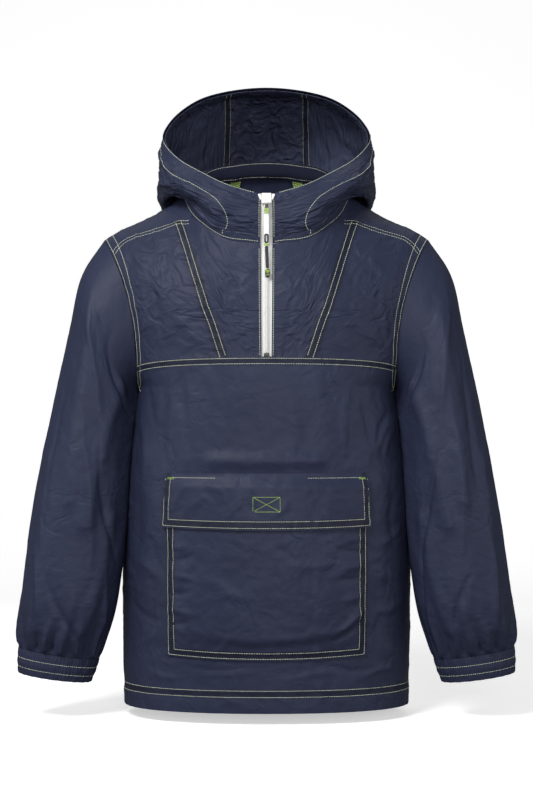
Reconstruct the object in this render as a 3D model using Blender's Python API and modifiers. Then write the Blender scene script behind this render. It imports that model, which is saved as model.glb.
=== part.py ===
"""A child's hooded anorak pullover, filled out as if worn. Metres, +Z up, the front faces -Y.

The origin is in the middle of the neck opening. Tables and surface functions are in millimetres; MM turns
them into metres when a mesh is written. The body is one surface, body(across, up): across runs from -1 to 1
between the two armholes or side seams, and up is the height on the front, 0 on the shoulder ridge, and the
height again, with its sign turned, down the back. Every panel is a stretch of that surface between its seam
lines.
"""

import math

import bmesh
import bpy
import numpy as np

MM = 0.001

# Driving dimensions, in millimetres
CLOTH = 1.4  # one layer of cloth with its turned seam allowance
SEAM = 0.35  # the parting between two layers of cloth
HEM_Z = -598.0
ARMPIT_Z = -213.0
BREAK_Z = -124.0  # the armhole's widest level; above it the body curves over the shoulder
SHOULDER_TIP_Z = -35.0
ARMPIT_X = 155.0
SHOULDER_TIP_X = 197.0
SIDE_Y = 8.0  # the side seam's place between front and back
ARMHOLE_DEPTH = 54.0  # from the side seam's line to the armhole's front or back edge
ARMHOLE_ROUND = 2.4
CHEST_SEAM_Z = -178.5
CHEST_SEAM_DROP = 8.4  # the chest seam is this much lower at the armhole
ZIP_GAP = 6.75  # half the width of the opening that shows the zip
SLIDER_Z = (2.5, 15.0)
POCKET_HALF = 116.0
POCKET_Z = (-531.0, -336.0)
POCKET_BULGE = 9.0
FLAP_HALF = 120.0
FLAP_Z = (-379.0, -315.0)
GATHERS = 20  # round each sleeve end and each cuff

TORSO = {  # level: half width, front middle, back middle
    "z": (-598, -500, -400, -320, -260, -213, -178, -124),
    "side": (172, 174, 173.8, 169.7, 162.2, 155, 155, 155),
    "front": (-92, -97, -101, -102, -101, -100, -98, -94),
    "back": (110, 108, 108, 111, 116, 118, 119, 119),
}
RIDGE = {  # height of the shoulder ridge, from the neck column out to the shoulder tip
    "x": (0, 40, 70, 88, 98, 112, 127, 147, 176, 197),
    "z": (100, 97, 80, 46, 24, 11, 1.5, -9.5, -22, -35),
}
NECKLINE = {  # station from the middle of the back (0) to the zip (1)
    "station": (0, 0.16, 0.35, 0.50, 0.62, 0.74, 0.84, 0.92, 1.0),
    "x": (0, 44, 72, 88, 98, 94, 78, 52, 7),
    "z": (58, 54, 46, 36, 23, 3, -18, -37, -45),
}
SHOULDER_SEAM = {"x": (84.5, 106, 128, 160, 175, 186), "z": (-7, -14, -21, -30, -38, -49)}
PRINCESS_SEAM = {"z": (-15, -38, -60, -90, -120, -184), "x": (105, 97.5, 90.5, 81, 71.5, 50.5)}
BACK_SEAM = {"up": (90, 160, 300, 598), "across": (0.175, 0.215, 0.245, 0.27)}  # below the neckline

SLEEVE = {  # sections below the armhole: inner point, outer point, middle y, half depth
    "inner_x": (159.3, 161, 164.3, 168.6, 172, 175.1, 184, 196, 202.5),
    "inner_z": (-225, -240, -262, -310, -370, -440, -488, -522, -541),
    "outer_x": (223.5, 239, 254, 268.5, 281.5, 292, 298, 299.5, 299),
    "outer_z": (-73, -140, -212, -290, -365, -437, -486, -511, -526.5),
    "mid_y": (5, -2, -11, -21, -25, -27, -27, -26, -25),
    "depth": (60, 61, 59, 57, 56, 56, 53, 45, 36),
}
CUFF = {"inner": (212.5, -569), "outer": (299.5, -557), "mid_y": -25, "depth": 33}

HOOD_ALONG = (0, 0.031, 0.169, 0.33, 0.54, 0.832, 1)  # crest, tuck, low, far, crown and rim on every profile
HOOD = {  # a profile at each station: from the neckline over the crest, down into the slump, up to the rim
    "station": (0, 0.16, 0.35, 0.50, 0.62, 0.74, 0.84, 0.92, 1.0),
    "crest": (
        (0, 75, 70), (45, 74, 66), (75, 63, 57), (92, 36, 44), (101, 13, 37),
        (97, -33, 18), (79.5, -61, -10.5), (52.5, -77, -30), (7, -81, -38.5),
    ),
    "tuck": (
        (0, 101, 22), (47, 98, 21), (84, 84, 21), (106, 50, 24), (112, 10, 32),
        (103, -34, 21), (81, -60, -3.5), (54, -78.5, -25), (7, -82, -34),
    ),
    "low": (
        (0, 129, -40), (48, 126, -37), (98, 102, -21), (125, 56, 4), (125, 5, 14),
        (111, -36, 17), (86, -60, 7), (56, -80.5, -17), (7, -83, -27),
    ),
    "far": (
        (0, 174, 36), (51, 168, 36), (117, 122, 36), (131, 60, 38), (129, 0, 40),
        (118, -40, 28), (97, -68, 20), (58, -84, -2), (7, -84, -13),
    ),
    "crown": (
        (0, 118, 149), (48, 112, 146), (103, 88, 123), (126, 37, 93), (126.5, 0, 70),
        (115, -38, 47), (94, -68, 33), (54, -83, 15), (7, -83.5, 4),
    ),
    "rim": (
        (0, 50, 158.5), (47, 46, 153.5), (90, 33, 137.5), (117, 14, 112), (125, -2, 89),
        (106, -30, 62), (79, -58, 43), (47, -77, 26), (7, -82, 14),
    ),
}
FACING = {  # the facing's lower edge
    "station": (0, 0.62, 0.84, 0.90, 0.94, 0.96, 1.0),
    "along": (0.93, 0.82, 0.72, 0.55, 0.2, 0.03, 0.03),
}

BODY_FOLDS = (  # x, z of both ends, half width, height
    (-62, -301, 58, -300, 9, 4.5),
    (-88, -222, -94, -300, 14, 2.5),
    (64, -212, 74, -298, 16, 2.5),
    (142, -258, 124, -288, 9, 3.0),
    (-138, -300, -126, -380, 16, 2.5),
    (134, -330, 130, -440, 16, 2.5),
)
BACK_FOLDS = (
    (-70, -120, -90, -300, 18, 3.0),
    (60, -140, 84, -330, 18, 3.0),
    (-30, -330, 70, -352, 14, 2.5),
    (-120, -420, -60, -470, 16, 2.5),
)
# Quarter turns from the underarm seam forward and part of the length, at both ends; half width, height
SLEEVE_FOLDS = (
    (0.55, 0.12, 0.85, 0.62, 9, 3.5),
    (1.25, 0.10, 1.10, 0.55, 11, 3.0),
    (1.55, 0.45, 1.35, 0.92, 10, 3.0),
    (0.45, 0.60, 0.70, 0.92, 9, 3.0),
    (2.60, 0.20, 2.45, 0.80, 13, 3.0),
    (3.40, 0.15, 3.20, 0.70, 11, 3.5),
)
HOOD_FOLDS = (  # station and part of the profile, at both ends; half width, height
    (0.58, 0.45, 0.76, 0.60, 8, 2.5),
    (0.50, 0.75, 0.70, 0.80, 8, 2.5),
    (0.05, 0.62, 0.30, 0.50, 14, 4.0),
    (0.12, 0.86, 0.40, 0.80, 12, 3.5),
    (0.90, 0.10, 0.93, 0.70, 6, 1.5),
)

NAVY = (0.035, 0.042, 0.075, 1.0)
NAVY_SHADE = (0.03, 0.035, 0.062, 1.0)
GREEN = (0.25, 0.36, 0.10, 1.0)
WHITE = (0.88, 0.88, 0.87, 1.0)
INK = (0.01, 0.012, 0.012, 1.0)


def smooth(at, keys, values):
    """The value of a table's column at a key, on a cubic through the rows."""
    keys = np.asarray(keys, float)
    values = np.asarray(values, float)
    at = np.clip(at, keys[0], keys[-1])
    row = np.clip(np.searchsorted(keys, at, side="right") - 1, 0, len(keys) - 2)
    slope = np.gradient(values, keys, axis=0)
    step = keys[row + 1] - keys[row]
    t = (at - keys[row]) / step
    if values.ndim > 1:
        t, step = t[..., None], step[..., None]
    here = values[row] * (1 + 2 * t) * (1 - t) ** 2 + slope[row] * step * t * (1 - t) ** 2
    there = values[row + 1] * t * t * (3 - 2 * t) + slope[row + 1] * step * t * t * (t - 1)
    return here + there


def folds(x, y, table):
    """The height that soft folds add at x, y: each is a rounded ridge between its two ends."""
    height = np.zeros(np.broadcast(x, y).shape)
    for x0, y0, x1, y1, width, high in table:
        dx, dy = x1 - x0, y1 - y0
        along = np.clip(((x - x0) * dx + (y - y0) * dy) / (dx * dx + dy * dy), 0, 1)
        away = np.hypot(x - x0 - along * dx, y - y0 - along * dy)
        height = height + high * np.exp(-((away / width) ** 2))
    return height


def armhole_x(z):
    """The armhole leans out towards the shoulder tip."""
    rise = np.clip((z - ARMPIT_Z) / (SHOULDER_TIP_Z - ARMPIT_Z), 0, 1)
    return ARMPIT_X + (SHOULDER_TIP_X - ARMPIT_X) * rise**2.7


def armhole_reach(z):
    """How far the armhole's edge lies before or behind the side seam's line, below its widest level."""
    low = np.clip((BREAK_Z - z) / (BREAK_Z - ARMPIT_Z), 0, 1)
    return ARMHOLE_DEPTH * (1 - low**ARMHOLE_ROUND) ** (1 / ARMHOLE_ROUND)


def section(t):
    """A quarter of the cross-section from the middle (0) to the side (1), as fractions of width and depth."""
    a, b, c, d = (1 - t) ** 3, 3 * t * (1 - t) ** 2, 3 * t**2 * (1 - t), t**3
    return 0.62 * b + c + d, a + b + 0.62 * c


SECTION_STEPS = np.linspace(1, 0, 200)


def body_row(side, z, facing):
    """x and y on one level: side is 0 in the middle, 1 at the edge; facing is -1 on the front, 1 behind."""
    middle = np.where(facing < 0, smooth(z, TORSO["z"], TORSO["front"]), smooth(z, TORSO["z"], TORSO["back"]))
    depth = middle - SIDE_Y
    end = np.interp(armhole_reach(z) / np.abs(depth), section(SECTION_STEPS)[1], SECTION_STEPS)
    wide = np.where(z > ARMPIT_Z, armhole_x(z) / section(end)[0], smooth(z, TORSO["z"], TORSO["side"]))
    out, deep = section(side * (1 - (1 - end) * side))
    return wide * out, SIDE_Y + depth * deep


def body_shape(across, up):
    """A point of the body without its folds."""
    across, up = np.broadcast_arrays(np.asarray(across, float), np.asarray(up, float))
    side = np.abs(across)
    facing = np.where(up < 0, -1.0, 1.0)
    level = np.minimum(-np.abs(up), BREAK_Z)
    x, y = body_row(side, level, facing)
    over = np.clip(1 - np.abs(up) / -BREAK_Z, 0, 1) * math.pi / 2
    round_by = np.where(facing < 0, 1.5 + 0.8 * side**2, 2.0 + 0.3 * side**2)
    rise = np.sin(over) ** (2 / round_by)
    lean = np.maximum(np.cos(over), 0) ** (2 / round_by)
    tip_x = x * SHOULDER_TIP_X / armhole_x(BREAK_Z)
    ridge_z = smooth(tip_x, RIDGE["x"], RIDGE["z"])
    spread = armhole_x(BREAK_Z + rise * (SHOULDER_TIP_Z - BREAK_Z)) / armhole_x(BREAK_Z)
    ridge_y = SIDE_Y * side
    above = np.abs(up) < -BREAK_Z
    z = np.where(above, BREAK_Z + rise * (ridge_z - BREAK_Z), level)
    y = np.where(above, ridge_y + (y - ridge_y) * lean, y)
    x = np.where(above, x * spread, x)
    return np.stack([np.sign(across) * x, y, z], axis=-1)


def normals(surface, a, b, turn=1):
    """Unit normals of a surface of two numbers, by differences."""
    small = 1e-3
    along_a = surface(a + small, b) - surface(a - small, b)
    along_b = surface(a, b + small) - surface(a, b - small)
    normal = np.cross(along_a, along_b) * turn
    return normal / np.maximum(np.linalg.norm(normal, axis=-1, keepdims=True), 1e-12)


def body(across, up, out=0.0):
    """A point of the body cloth's inner face, moved out by out."""
    across, up = np.broadcast_arrays(np.asarray(across, float), np.asarray(up, float))
    inside = np.clip(across, -0.998, 0.998)
    point = body_shape(across, up)
    x, z = point[..., 0], point[..., 2]
    height = np.where(up < 0, folds(x, z, BODY_FOLDS), folds(x, z, BACK_FOLDS))
    return point + normals(body_shape, inside, up) * (height + out)[..., None]


def locate(x, z, facing=-1):
    """The across and up of the point of the body that shows at x, z from the front, or from behind."""
    across, up = x / 162, facing * max(-z, 30.0)
    for _ in range(60):
        now = body_shape(across, up)
        da = (body_shape(across + 1e-4, up) - now) / 1e-4
        db = (body_shape(across, up + 1e-2) - now) / 1e-2
        det = da[0] * db[2] - da[2] * db[0]
        ex, ez = x - now[0], z - now[2]
        across += 0.6 * np.clip((ex * db[2] - ez * db[0]) / det, -0.1, 0.1)
        up += 0.6 * np.clip((da[0] * ez - da[2] * ex) / det, -20, 20)
        up = min(max(up, -590), -0.5) if facing < 0 else max(min(up, 590), 0.5)
    return across, up


def seam_line(points):
    """A smooth line through across and up pairs, as a function of 0 to 1."""
    points = np.asarray(points, float)
    steps = np.hypot(*(np.diff(points, axis=0) * (160, 1)).T)
    keys = np.concatenate([[0], np.cumsum(steps)]) / steps.sum()
    return lambda t: smooth(np.asarray(t, float), keys, points)


def straight(a, b):
    a, b = np.asarray(a, float), np.asarray(b, float)
    return lambda t: a + (b - a) * np.asarray(t, float)[..., None]


def joined(first, second, split):
    """Two lines end to end: the first fills the way up to split."""

    def line(t):
        t = np.asarray(t, float)
        early = first(np.clip(t / split, 0, 1))
        late = second(np.clip((t - split) / (1 - split), 0, 1))
        return np.where((t < split)[..., None], early, late)

    return line


def between(low, high, left, right):
    """A patch of the surface's plane that fills four seam lines."""
    corners = [line(np.array(t)) for line, t in ((low, 0.0), (low, 1.0), (high, 0.0), (high, 1.0))]

    def patch(u, v):
        a, b = u[..., None], v[..., None]
        edges = (1 - b) * low(u) + b * high(u) + (1 - a) * left(v) + a * right(v)
        inner = (1 - a) * (1 - b) * corners[0] + a * (1 - b) * corners[1] + (1 - a) * b * corners[2]
        return edges - inner - a * b * corners[3]

    return patch


def mirrored(surface, sign):
    """The same surface on the other side of the middle plane."""

    def other(u, v):
        point = surface(u, v)
        return point * np.array([sign, 1, 1])

    return other


# Materials and objects

materials = {}


def material(name, colour, roughness, metallic=0.0):
    if name not in materials:
        made = bpy.data.materials.new(name)
        made.use_nodes = True
        shader = made.node_tree.nodes["Principled BSDF"]
        shader.inputs["Base Color"].default_value = colour
        shader.inputs["Roughness"].default_value = roughness
        shader.inputs["Metallic"].default_value = metallic
        made.diffuse_color = colour
        materials[name] = made
    return materials[name]


def finish(name, bm, look, smooth_shade=True):
    """Turns a bmesh into an object of the anorak's collection."""
    mesh = bpy.data.meshes.new(name)
    bm.to_mesh(mesh)
    bm.free()
    if smooth_shade:
        mesh.shade_smooth()
        mesh.set_sharp_from_angle(angle=math.radians(40))
    made = bpy.data.objects.new(name, mesh)
    made.data.materials.append(look)
    anorak.objects.link(made)
    return made


def in_steps(of):
    """Either how many steps a grid takes or the values at its steps, as values."""
    return np.linspace(0, 1, of + 1) if isinstance(of, int) else np.asarray(of)


def wall(name, surface, columns, rows, thickness, look, turn=1, closed=False, outwards=1):
    """A sheet of cloth: a grid laid on a surface of 0 to 1 by 0 to 1, and given its thickness."""
    columns, rows = in_steps(columns), in_steps(rows)
    bm = bmesh.new()
    bmesh.ops.create_grid(bm, x_segments=len(columns) - 1, y_segments=len(rows) - 1, size=0.5)
    places = np.clip(np.array([vert.co for vert in bm.verts])[:, :2] + 0.5, 0, 1)
    u = np.interp(places[:, 0], np.linspace(0, 1, len(columns)), columns)
    v = np.interp(places[:, 1], np.linspace(0, 1, len(rows)), rows)
    points = surface(u, v) * MM
    for vert, point in zip(bm.verts, points):
        vert.co = point
    if closed:
        bmesh.ops.remove_doubles(bm, verts=bm.verts, dist=2e-4)
    if turn < 0:
        bmesh.ops.reverse_faces(bm, faces=bm.faces)
    made = finish(name, bm, look)
    shell = made.modifiers.new("wall", "SOLIDIFY")
    shell.thickness = thickness * MM
    shell.offset = outwards
    return made


def block(name, size, centre, look, bevel=0.0):
    """A bevelled block, given in millimetres."""
    bm = bmesh.new()
    bmesh.ops.create_cube(bm, size=1)
    bmesh.ops.scale(bm, vec=[side * MM for side in size], verts=bm.verts)
    made = finish(name, bm, look)
    made.location = [part * MM for part in centre]
    if bevel:
        edge = made.modifiers.new("edges", "BEVEL")
        edge.width = bevel * MM
        edge.segments = 2
    return made


# Seam lines of the body, on the right side; the left side is their mirror image

ARMHOLE_STEPS = 40  # round the armhole, shared by the sleeve and the panels' edges


def armhole_up(turn):
    """up of the armhole's edge at an angle from the underarm (0) over the front to the shoulder tip."""
    z = BREAK_Z - (BREAK_Z - ARMPIT_Z) * np.cos(turn)
    rise = np.clip((z - BREAK_Z) / (SHOULDER_TIP_Z - BREAK_Z), 0, 1)
    over = np.arcsin(rise ** (2.3 / 2))
    up = np.where(z > BREAK_Z, BREAK_Z * (1 - 2 * over / math.pi), z)
    return np.where(np.sin(turn) >= 0, up, -up)


ARMHOLE_UPS = armhole_up(np.arange(ARMHOLE_STEPS // 2 + 1) * 2 * math.pi / ARMHOLE_STEPS)
ARMHOLE_UPS[-1] = 0.0
NECK_POINTS = [locate(x, z, -1 if z < 20 else 1) for x, z in zip(NECKLINE["x"], NECKLINE["z"])]
SHOULDER_START = 0.79  # the station where the shoulder seam meets the neckline
BACK_START = 0.16  # and the back seam
ACROSS_GAP = 0.0011  # the partings at the seams, as across and as up
UP_GAP = 0.2
SHOULDER_GAP = 0.8
BACK_GAP = 4 * ACROSS_GAP


def neck(station):
    """across and up of the neckline at a station from the middle of the back to the zip."""
    return smooth(np.asarray(station, float), NECKLINE["station"], np.asarray(NECK_POINTS))


def chest_up(across):
    return CHEST_SEAM_Z - CHEST_SEAM_DROP * across**2


def shifted(line, across=0.0, up=0.0):
    return lambda t: line(t) + np.array([across, up])


def chest_line(a, b, up):
    def line(t):
        across = a + (b - a) * np.asarray(t, float)
        return np.stack([across, chest_up(across) + up], axis=-1)

    return line


def neck_part(a, b):
    return lambda t: neck(a + (b - a) * np.asarray(t, float))


EDGE = 1 - ACROSS_GAP
SHOULDER_END = ARMHOLE_UPS[16]  # up of the shoulder seam at the armhole
shoulder_points = [neck(SHOULDER_START)]
shoulder_points += [locate(x, z) for x, z in zip(SHOULDER_SEAM["x"][1:-1], SHOULDER_SEAM["z"][1:-1])]
shoulder_points += [(EDGE, SHOULDER_END)]
PRINCESS_AT = 0.115  # of the shoulder seam's length, where the princess seam meets it
shoulder_line = seam_line(shoulder_points)
princess_points = [shoulder_line(PRINCESS_AT)]
princess_points += [locate(x, z) for x, z in zip(PRINCESS_SEAM["x"][1:], PRINCESS_SEAM["z"][1:])]
chest_princess = princess_points[-1][0]
princess_points[-1] = (chest_princess, chest_up(chest_princess))
princess_line = seam_line(princess_points[::-1])
back_line = seam_line(list(zip(BACK_SEAM["across"], BACK_SEAM["up"]))[::-1] + [neck(BACK_START)])
zip_across = float(neck(1.0)[0]) * ZIP_GAP / NECKLINE["x"][-1]
HEM_SEAM = BACK_SEAM["across"][-1]


def levels(*runs):
    """v of the rows of a panel whose side edge runs through these values of up."""
    ups = np.concatenate(runs)
    return (ups - ups[0]) / (ups[-1] - ups[0])


# Steps round the neckline, along the shoulder seam and down the sides, shared by all that meets there
NECK_BACK = np.linspace(BACK_START, SHOULDER_START, 8)
NECK_FRONT = np.linspace(SHOULDER_START, 1, 6)
HOOD_COLUMNS = np.concatenate([[BACK_START + 0.001], NECK_BACK[1:], NECK_FRONT[1:]])
BACK_COLUMNS = np.concatenate([[0, PRINCESS_AT / 2], np.linspace(PRINCESS_AT, 1, 9)])
YOKE_SPLIT = 0.8  # of the top edge, where the neckline gives way to the shoulder seam
YOKE_COLUMNS = np.concatenate([np.linspace(0, YOKE_SPLIT, 6), [(1 + YOKE_SPLIT) / 2, 1]])
FRONT_LEVELS = (
    HEM_Z, -565, -531, -495, -460, -425, -390, -355, -330, -315, -308, -301, -294, -284, -260, -236
)
FRONT_ROWS = levels(FRONT_LEVELS, ARMHOLE_UPS[:6])
YOKE_ROWS = levels(ARMHOLE_UPS[5:17])
BACK_ROWS = levels(np.linspace(-HEM_Z, -ARMHOLE_UPS[0], 8), -ARMHOLE_UPS[1:], ARMHOLE_UPS[19:15:-1])
BACK_NECK_ROWS = BACK_ROWS[-len(NECK_BACK):]  # those that end on the neckline
BACK_SPLIT = BACK_NECK_ROWS[0]
CENTRE_PICK = list(range(7)) + list(range(7, 20, 2)) + list(range(20, 25))
CENTRE_ROWS = BACK_ROWS[CENTRE_PICK] / BACK_SPLIT
SLEEVE_STEPS = (0, 0.08, 0.17, 0.27, 0.38, 0.50, 0.62, 0.73, 0.83, 0.90, 0.95, 1)
HOOD_STEPS = (0, 0.031, 0.09, 0.169, 0.22, 0.27, 0.33, 0.40, 0.47, 0.54, 0.63, 0.73, 0.832, 0.92, 1)


def part_of(line, a, b):
    return lambda t: line(a + (b - a) * np.asarray(t, float))


def on_body(patch, sign=1, out=0.0):
    """A surface of 0 to 1 by 0 to 1 on the body; sign -1 puts it on the left side."""

    def surface(u, v):
        place = patch(u, v)
        return body(place[..., 0] * sign, place[..., 1], out)

    return surface


def back_neck(t):
    across, up = neck(BACK_START)
    return np.stack([across * (2 * t - 1), np.full(np.shape(t), up + SHOULDER_GAP)], axis=-1)


front_lower = between(
    straight((-EDGE, HEM_Z), (EDGE, HEM_Z)),
    chest_line(-EDGE, EDGE, -UP_GAP),
    straight((-EDGE, HEM_Z), (-EDGE, chest_up(1) - UP_GAP)),
    straight((EDGE, HEM_Z), (EDGE, chest_up(1) - UP_GAP)),
)
yoke_side = between(
    chest_line(chest_princess + ACROSS_GAP, EDGE, UP_GAP),
    shifted(part_of(shoulder_line, PRINCESS_AT, 1), 0, -SHOULDER_GAP),
    shifted(princess_line, ACROSS_GAP, 0),
    straight((EDGE, chest_up(1) + UP_GAP), (EDGE, SHOULDER_END - SHOULDER_GAP)),
)
yoke_top = joined(neck_part(1, SHOULDER_START), part_of(shoulder_line, 0, PRINCESS_AT), YOKE_SPLIT)
yoke_centre = between(
    chest_line(zip_across, chest_princess - ACROSS_GAP, UP_GAP),
    shifted(yoke_top, 0, -SHOULDER_GAP),
    straight((zip_across, chest_up(0) + UP_GAP), neck(1.0) - (0, SHOULDER_GAP)),
    shifted(princess_line, -ACROSS_GAP, 0),
)
back_centre = between(
    straight((-HEM_SEAM, -HEM_Z), (HEM_SEAM, -HEM_Z)),
    back_neck,
    lambda t: back_line(t) * np.array([-1, 1]),
    back_line,
)


def back_inner_edge(v):
    """The side panel's inner edge: up the back seam, then forward round the neckline to the shoulder seam."""
    seam = back_line(np.clip(v / BACK_SPLIT, 0, 1)) + np.array([BACK_GAP, 0])
    station = np.interp(v, BACK_NECK_ROWS, NECK_BACK)
    lift = SHOULDER_GAP * (station - BACK_START) / (SHOULDER_START - BACK_START)
    collar = neck(station) + np.stack([np.full(np.shape(v), BACK_GAP), lift], axis=-1)
    return np.where((v < BACK_SPLIT)[..., None], seam, collar)


back_side = between(
    straight((HEM_SEAM + BACK_GAP, -HEM_Z), (EDGE, -HEM_Z)),
    shifted(shoulder_line, 0, SHOULDER_GAP),
    back_inner_edge,
    straight((EDGE, -HEM_Z), (EDGE, SHOULDER_END + SHOULDER_GAP)),
)


# Sleeves and cuffs

SLEEVE_KEYS = ("inner_x", "inner_z", "outer_x", "outer_z", "mid_y", "depth")
SLEEVE_ROWS = list(zip(*(SLEEVE[key] for key in SLEEVE_KEYS)))
SLEEVE_MIDS = np.array(
    [((ARMPIT_X + SHOULDER_TIP_X) / 2, (ARMPIT_Z + SHOULDER_TIP_Z) / 2)]
    + [((row[0] + row[2]) / 2, (row[1] + row[3]) / 2) for row in SLEEVE_ROWS]
)
SLEEVE_ALONG = np.concatenate([[0], np.cumsum(np.hypot(*np.diff(SLEEVE_MIDS, axis=0).T))])
SLEEVE_LENGTH = SLEEVE_ALONG[-1]
SLEEVE_ALONG = SLEEVE_ALONG / SLEEVE_LENGTH
ARMHOLE_AXIS = np.array([0.972, 0, -0.235])
SLEEVE_QUARTER = 85.0  # a quarter of the way round, in millimetres
GATHER_DEPTH = 2.4
GATHER_FADE = 38.0
GATHER_REACH = 30.0  # the folds of the sleeve fade out this far above the cuff
SEAM_BAND = 6.0  # over which the gathers pass into the cuff's ribs
CUFF_RIB = 0.8
CUFF_PUFF = 1.2
CUFF_START = 0.03  # of the cuff's length: the gap below the sleeve


def armhole(turn):
    """The sleeve's first section: the armhole's edge, from the underarm (0) over the front."""
    up = armhole_up(turn)
    inside = np.full(np.shape(turn), 0.998)
    return body_shape(1.0, up) + normals(body_shape, inside, up) * CLOTH + ARMHOLE_AXIS * 4 * SEAM


def ring(turn, inner, outer, mid_y, depth):
    """A section of a sleeve: an ellipse through its inner and outer points."""
    mid = (np.array(inner) + np.array(outer)) / 2
    half = np.array(inner) - mid
    cos, sin = np.cos(turn), np.sin(turn)
    return np.stack([mid[0] + half[0] * cos, mid_y - depth * sin, mid[1] + half[1] * cos], axis=-1)


def own_smooth(at, keys, columns):
    """As smooth, where every point has a column of its own: columns is rows by points by 3."""
    keys = np.asarray(keys, float)
    at = np.clip(at, keys[0], keys[-1])
    row = np.clip(np.searchsorted(keys, at, side="right") - 1, 0, len(keys) - 2)
    slope = np.gradient(columns, keys, axis=0)
    own = np.arange(at.size)
    step = (keys[row + 1] - keys[row])[:, None]
    t = (at - keys[row])[:, None] / step
    here = columns[row, own] * (1 + 2 * t) * (1 - t) ** 2 + slope[row, own] * step * t * (1 - t) ** 2
    there = columns[row + 1, own] * t * t * (3 - 2 * t) + slope[row + 1, own] * step * t * t * (t - 1)
    return here + there


def sleeve_shape(quarter, along):
    quarter, along = np.broadcast_arrays(np.asarray(quarter, float), np.asarray(along, float))
    turn = quarter.ravel() * math.pi / 2
    rings = [armhole(turn)] + [ring(turn, row[0:2], row[2:4], row[4], row[5]) for row in SLEEVE_ROWS]
    return own_smooth(along.ravel(), SLEEVE_ALONG, np.stack(rings)).reshape(quarter.shape + (3,))


def sleeve(u, v):
    """The right sleeve's outer face: u goes round from the underarm seam, v from the armhole to the cuff."""
    quarter = 4 * u
    inside = np.clip(v, 0.002, 0.998)
    table = [
        (q0 * SLEEVE_QUARTER, a0 * SLEEVE_LENGTH, q1 * SLEEVE_QUARTER, a1 * SLEEVE_LENGTH, width, high)
        for q0, a0, q1, a1, width, high in SLEEVE_FOLDS
    ]
    height = folds(quarter * SLEEVE_QUARTER, v * SLEEVE_LENGTH, table) * np.clip(v * 12, 0, 1)
    up_from_cuff = (1 - v) * SLEEVE_LENGTH
    deep = np.exp(-up_from_cuff / GATHER_FADE) * GATHER_DEPTH
    deep = CUFF_RIB + (deep - CUFF_RIB) * np.clip(up_from_cuff / SEAM_BAND, 0, 1)
    height = height * np.clip(up_from_cuff / GATHER_REACH, 0, 1)
    height = height + deep * np.cos(GATHERS * quarter * math.pi / 2)
    return sleeve_shape(quarter, v) + normals(sleeve_shape, quarter, inside, -1) * height[..., None]


def cuff_shape(quarter, v):
    turn = quarter * math.pi / 2
    last = SLEEVE_ROWS[-1]
    top = ring(turn, last[0:2], last[2:4], last[4], last[5])
    low = ring(turn, CUFF["inner"], CUFF["outer"], CUFF["mid_y"], CUFF["depth"])
    down = (CUFF_START + (1 - CUFF_START) * v)[..., None]
    return top + (low - top) * down


def cuff(u, v):
    quarter = 4 * u
    height = CUFF_RIB * np.cos(GATHERS * quarter * math.pi / 2) + CUFF_PUFF * np.sin(v * math.pi)
    return cuff_shape(quarter, v) + normals(cuff_shape, quarter, v, -1) * height[..., None]


# Hood, with the collar fronts in one piece with its sides

HOOD_LIFT = 4.4  # the hood's edge stands this much above the neckline's
HOOD_NAMES = ("crest", "tuck", "low", "far", "crown", "rim")
HOOD_STATIONS = np.concatenate([[-HOOD["station"][1]], HOOD["station"]])
HOOD_ROUND, HOOD_DEEP = 330.0, 200.0  # millimetres per unit of station and of the profile, for the folds


def from_behind(rows):
    """A column of the hood's table, begun with its second row mirrored: the back's middle becomes smooth."""
    rows = np.array(rows, float)
    return np.concatenate([rows[1:2] * (-1, 1, 1), rows])


hood_rows = {name: from_behind(HOOD[name]) for name in HOOD_NAMES}


def sided(station, point):
    """A point of the right half, put on the station's side."""
    sign = np.where(np.asarray(station) < 0, -1.0, 1.0)
    return point * np.stack([sign, np.ones_like(sign), np.ones_like(sign)], axis=-1)


def hood_shape(station, along):
    """A point of the hood's inner face; station is negative on the left side."""
    station, along = np.broadcast_arrays(np.asarray(station, float), np.asarray(along, float))
    flat = np.abs(station).ravel()
    foot = neck(flat)
    columns = [body_shape(foot[:, 0], foot[:, 1]) + (0, 0, HOOD_LIFT)]
    columns += [smooth(flat, HOOD_STATIONS, hood_rows[name]) for name in HOOD_NAMES]
    point = own_smooth(along.ravel(), HOOD_ALONG, np.stack(columns)).reshape(station.shape + (3,))
    return sided(station, point)


def hood(station, along, out=0.0):
    station, along = np.broadcast_arrays(np.asarray(station, float), np.asarray(along, float))
    side = np.abs(station)
    table = [
        (s0 * HOOD_ROUND, a0 * HOOD_DEEP, s1 * HOOD_ROUND, a1 * HOOD_DEEP, width, high)
        for s0, a0, s1, a1, width, high in HOOD_FOLDS
    ]
    height = folds(side * HOOD_ROUND, along * HOOD_DEEP, table) * np.clip(along * 10, 0, 1)
    normal = normals(hood_shape, np.clip(side, 0.002, 0.998), np.clip(along, 0.002, 0.998), -1)
    return hood_shape(station, along) + sided(station, normal) * (height + out)[..., None]


# Zip

TAPE_INNER, TAPE_HALF = 0.4, 14.5  # a zip tape's two edges, from the middle
TAPE_TOP = 13.5
TAPE_BACK = 2.3  # the tape's face and the chain's face, behind the cloth's inner face
CHAIN_BACK = 0.55
CHAIN_HALF = 2.75
CHAIN_THICK = 2.0
TAPE_THICK = 1.0
zip_levels = np.linspace(CHEST_SEAM_Z, NECKLINE["z"][-1] - 1, 12)
zip_points = [body_shape(*locate(ZIP_GAP, z)) for z in zip_levels]
zip_points += list(hood_shape(np.full(6, 1.0), np.array([0.03, 0.2, 0.4, 0.6, 0.8, 1.0])))
ZIP_KEYS = [point[2] for point in zip_points]
ZIP_Y = [point[1] for point in zip_points]


def zip_y(z):
    """The y of the cloth's inner face beside the zip."""
    return smooth(z, ZIP_KEYS, ZIP_Y)


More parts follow.
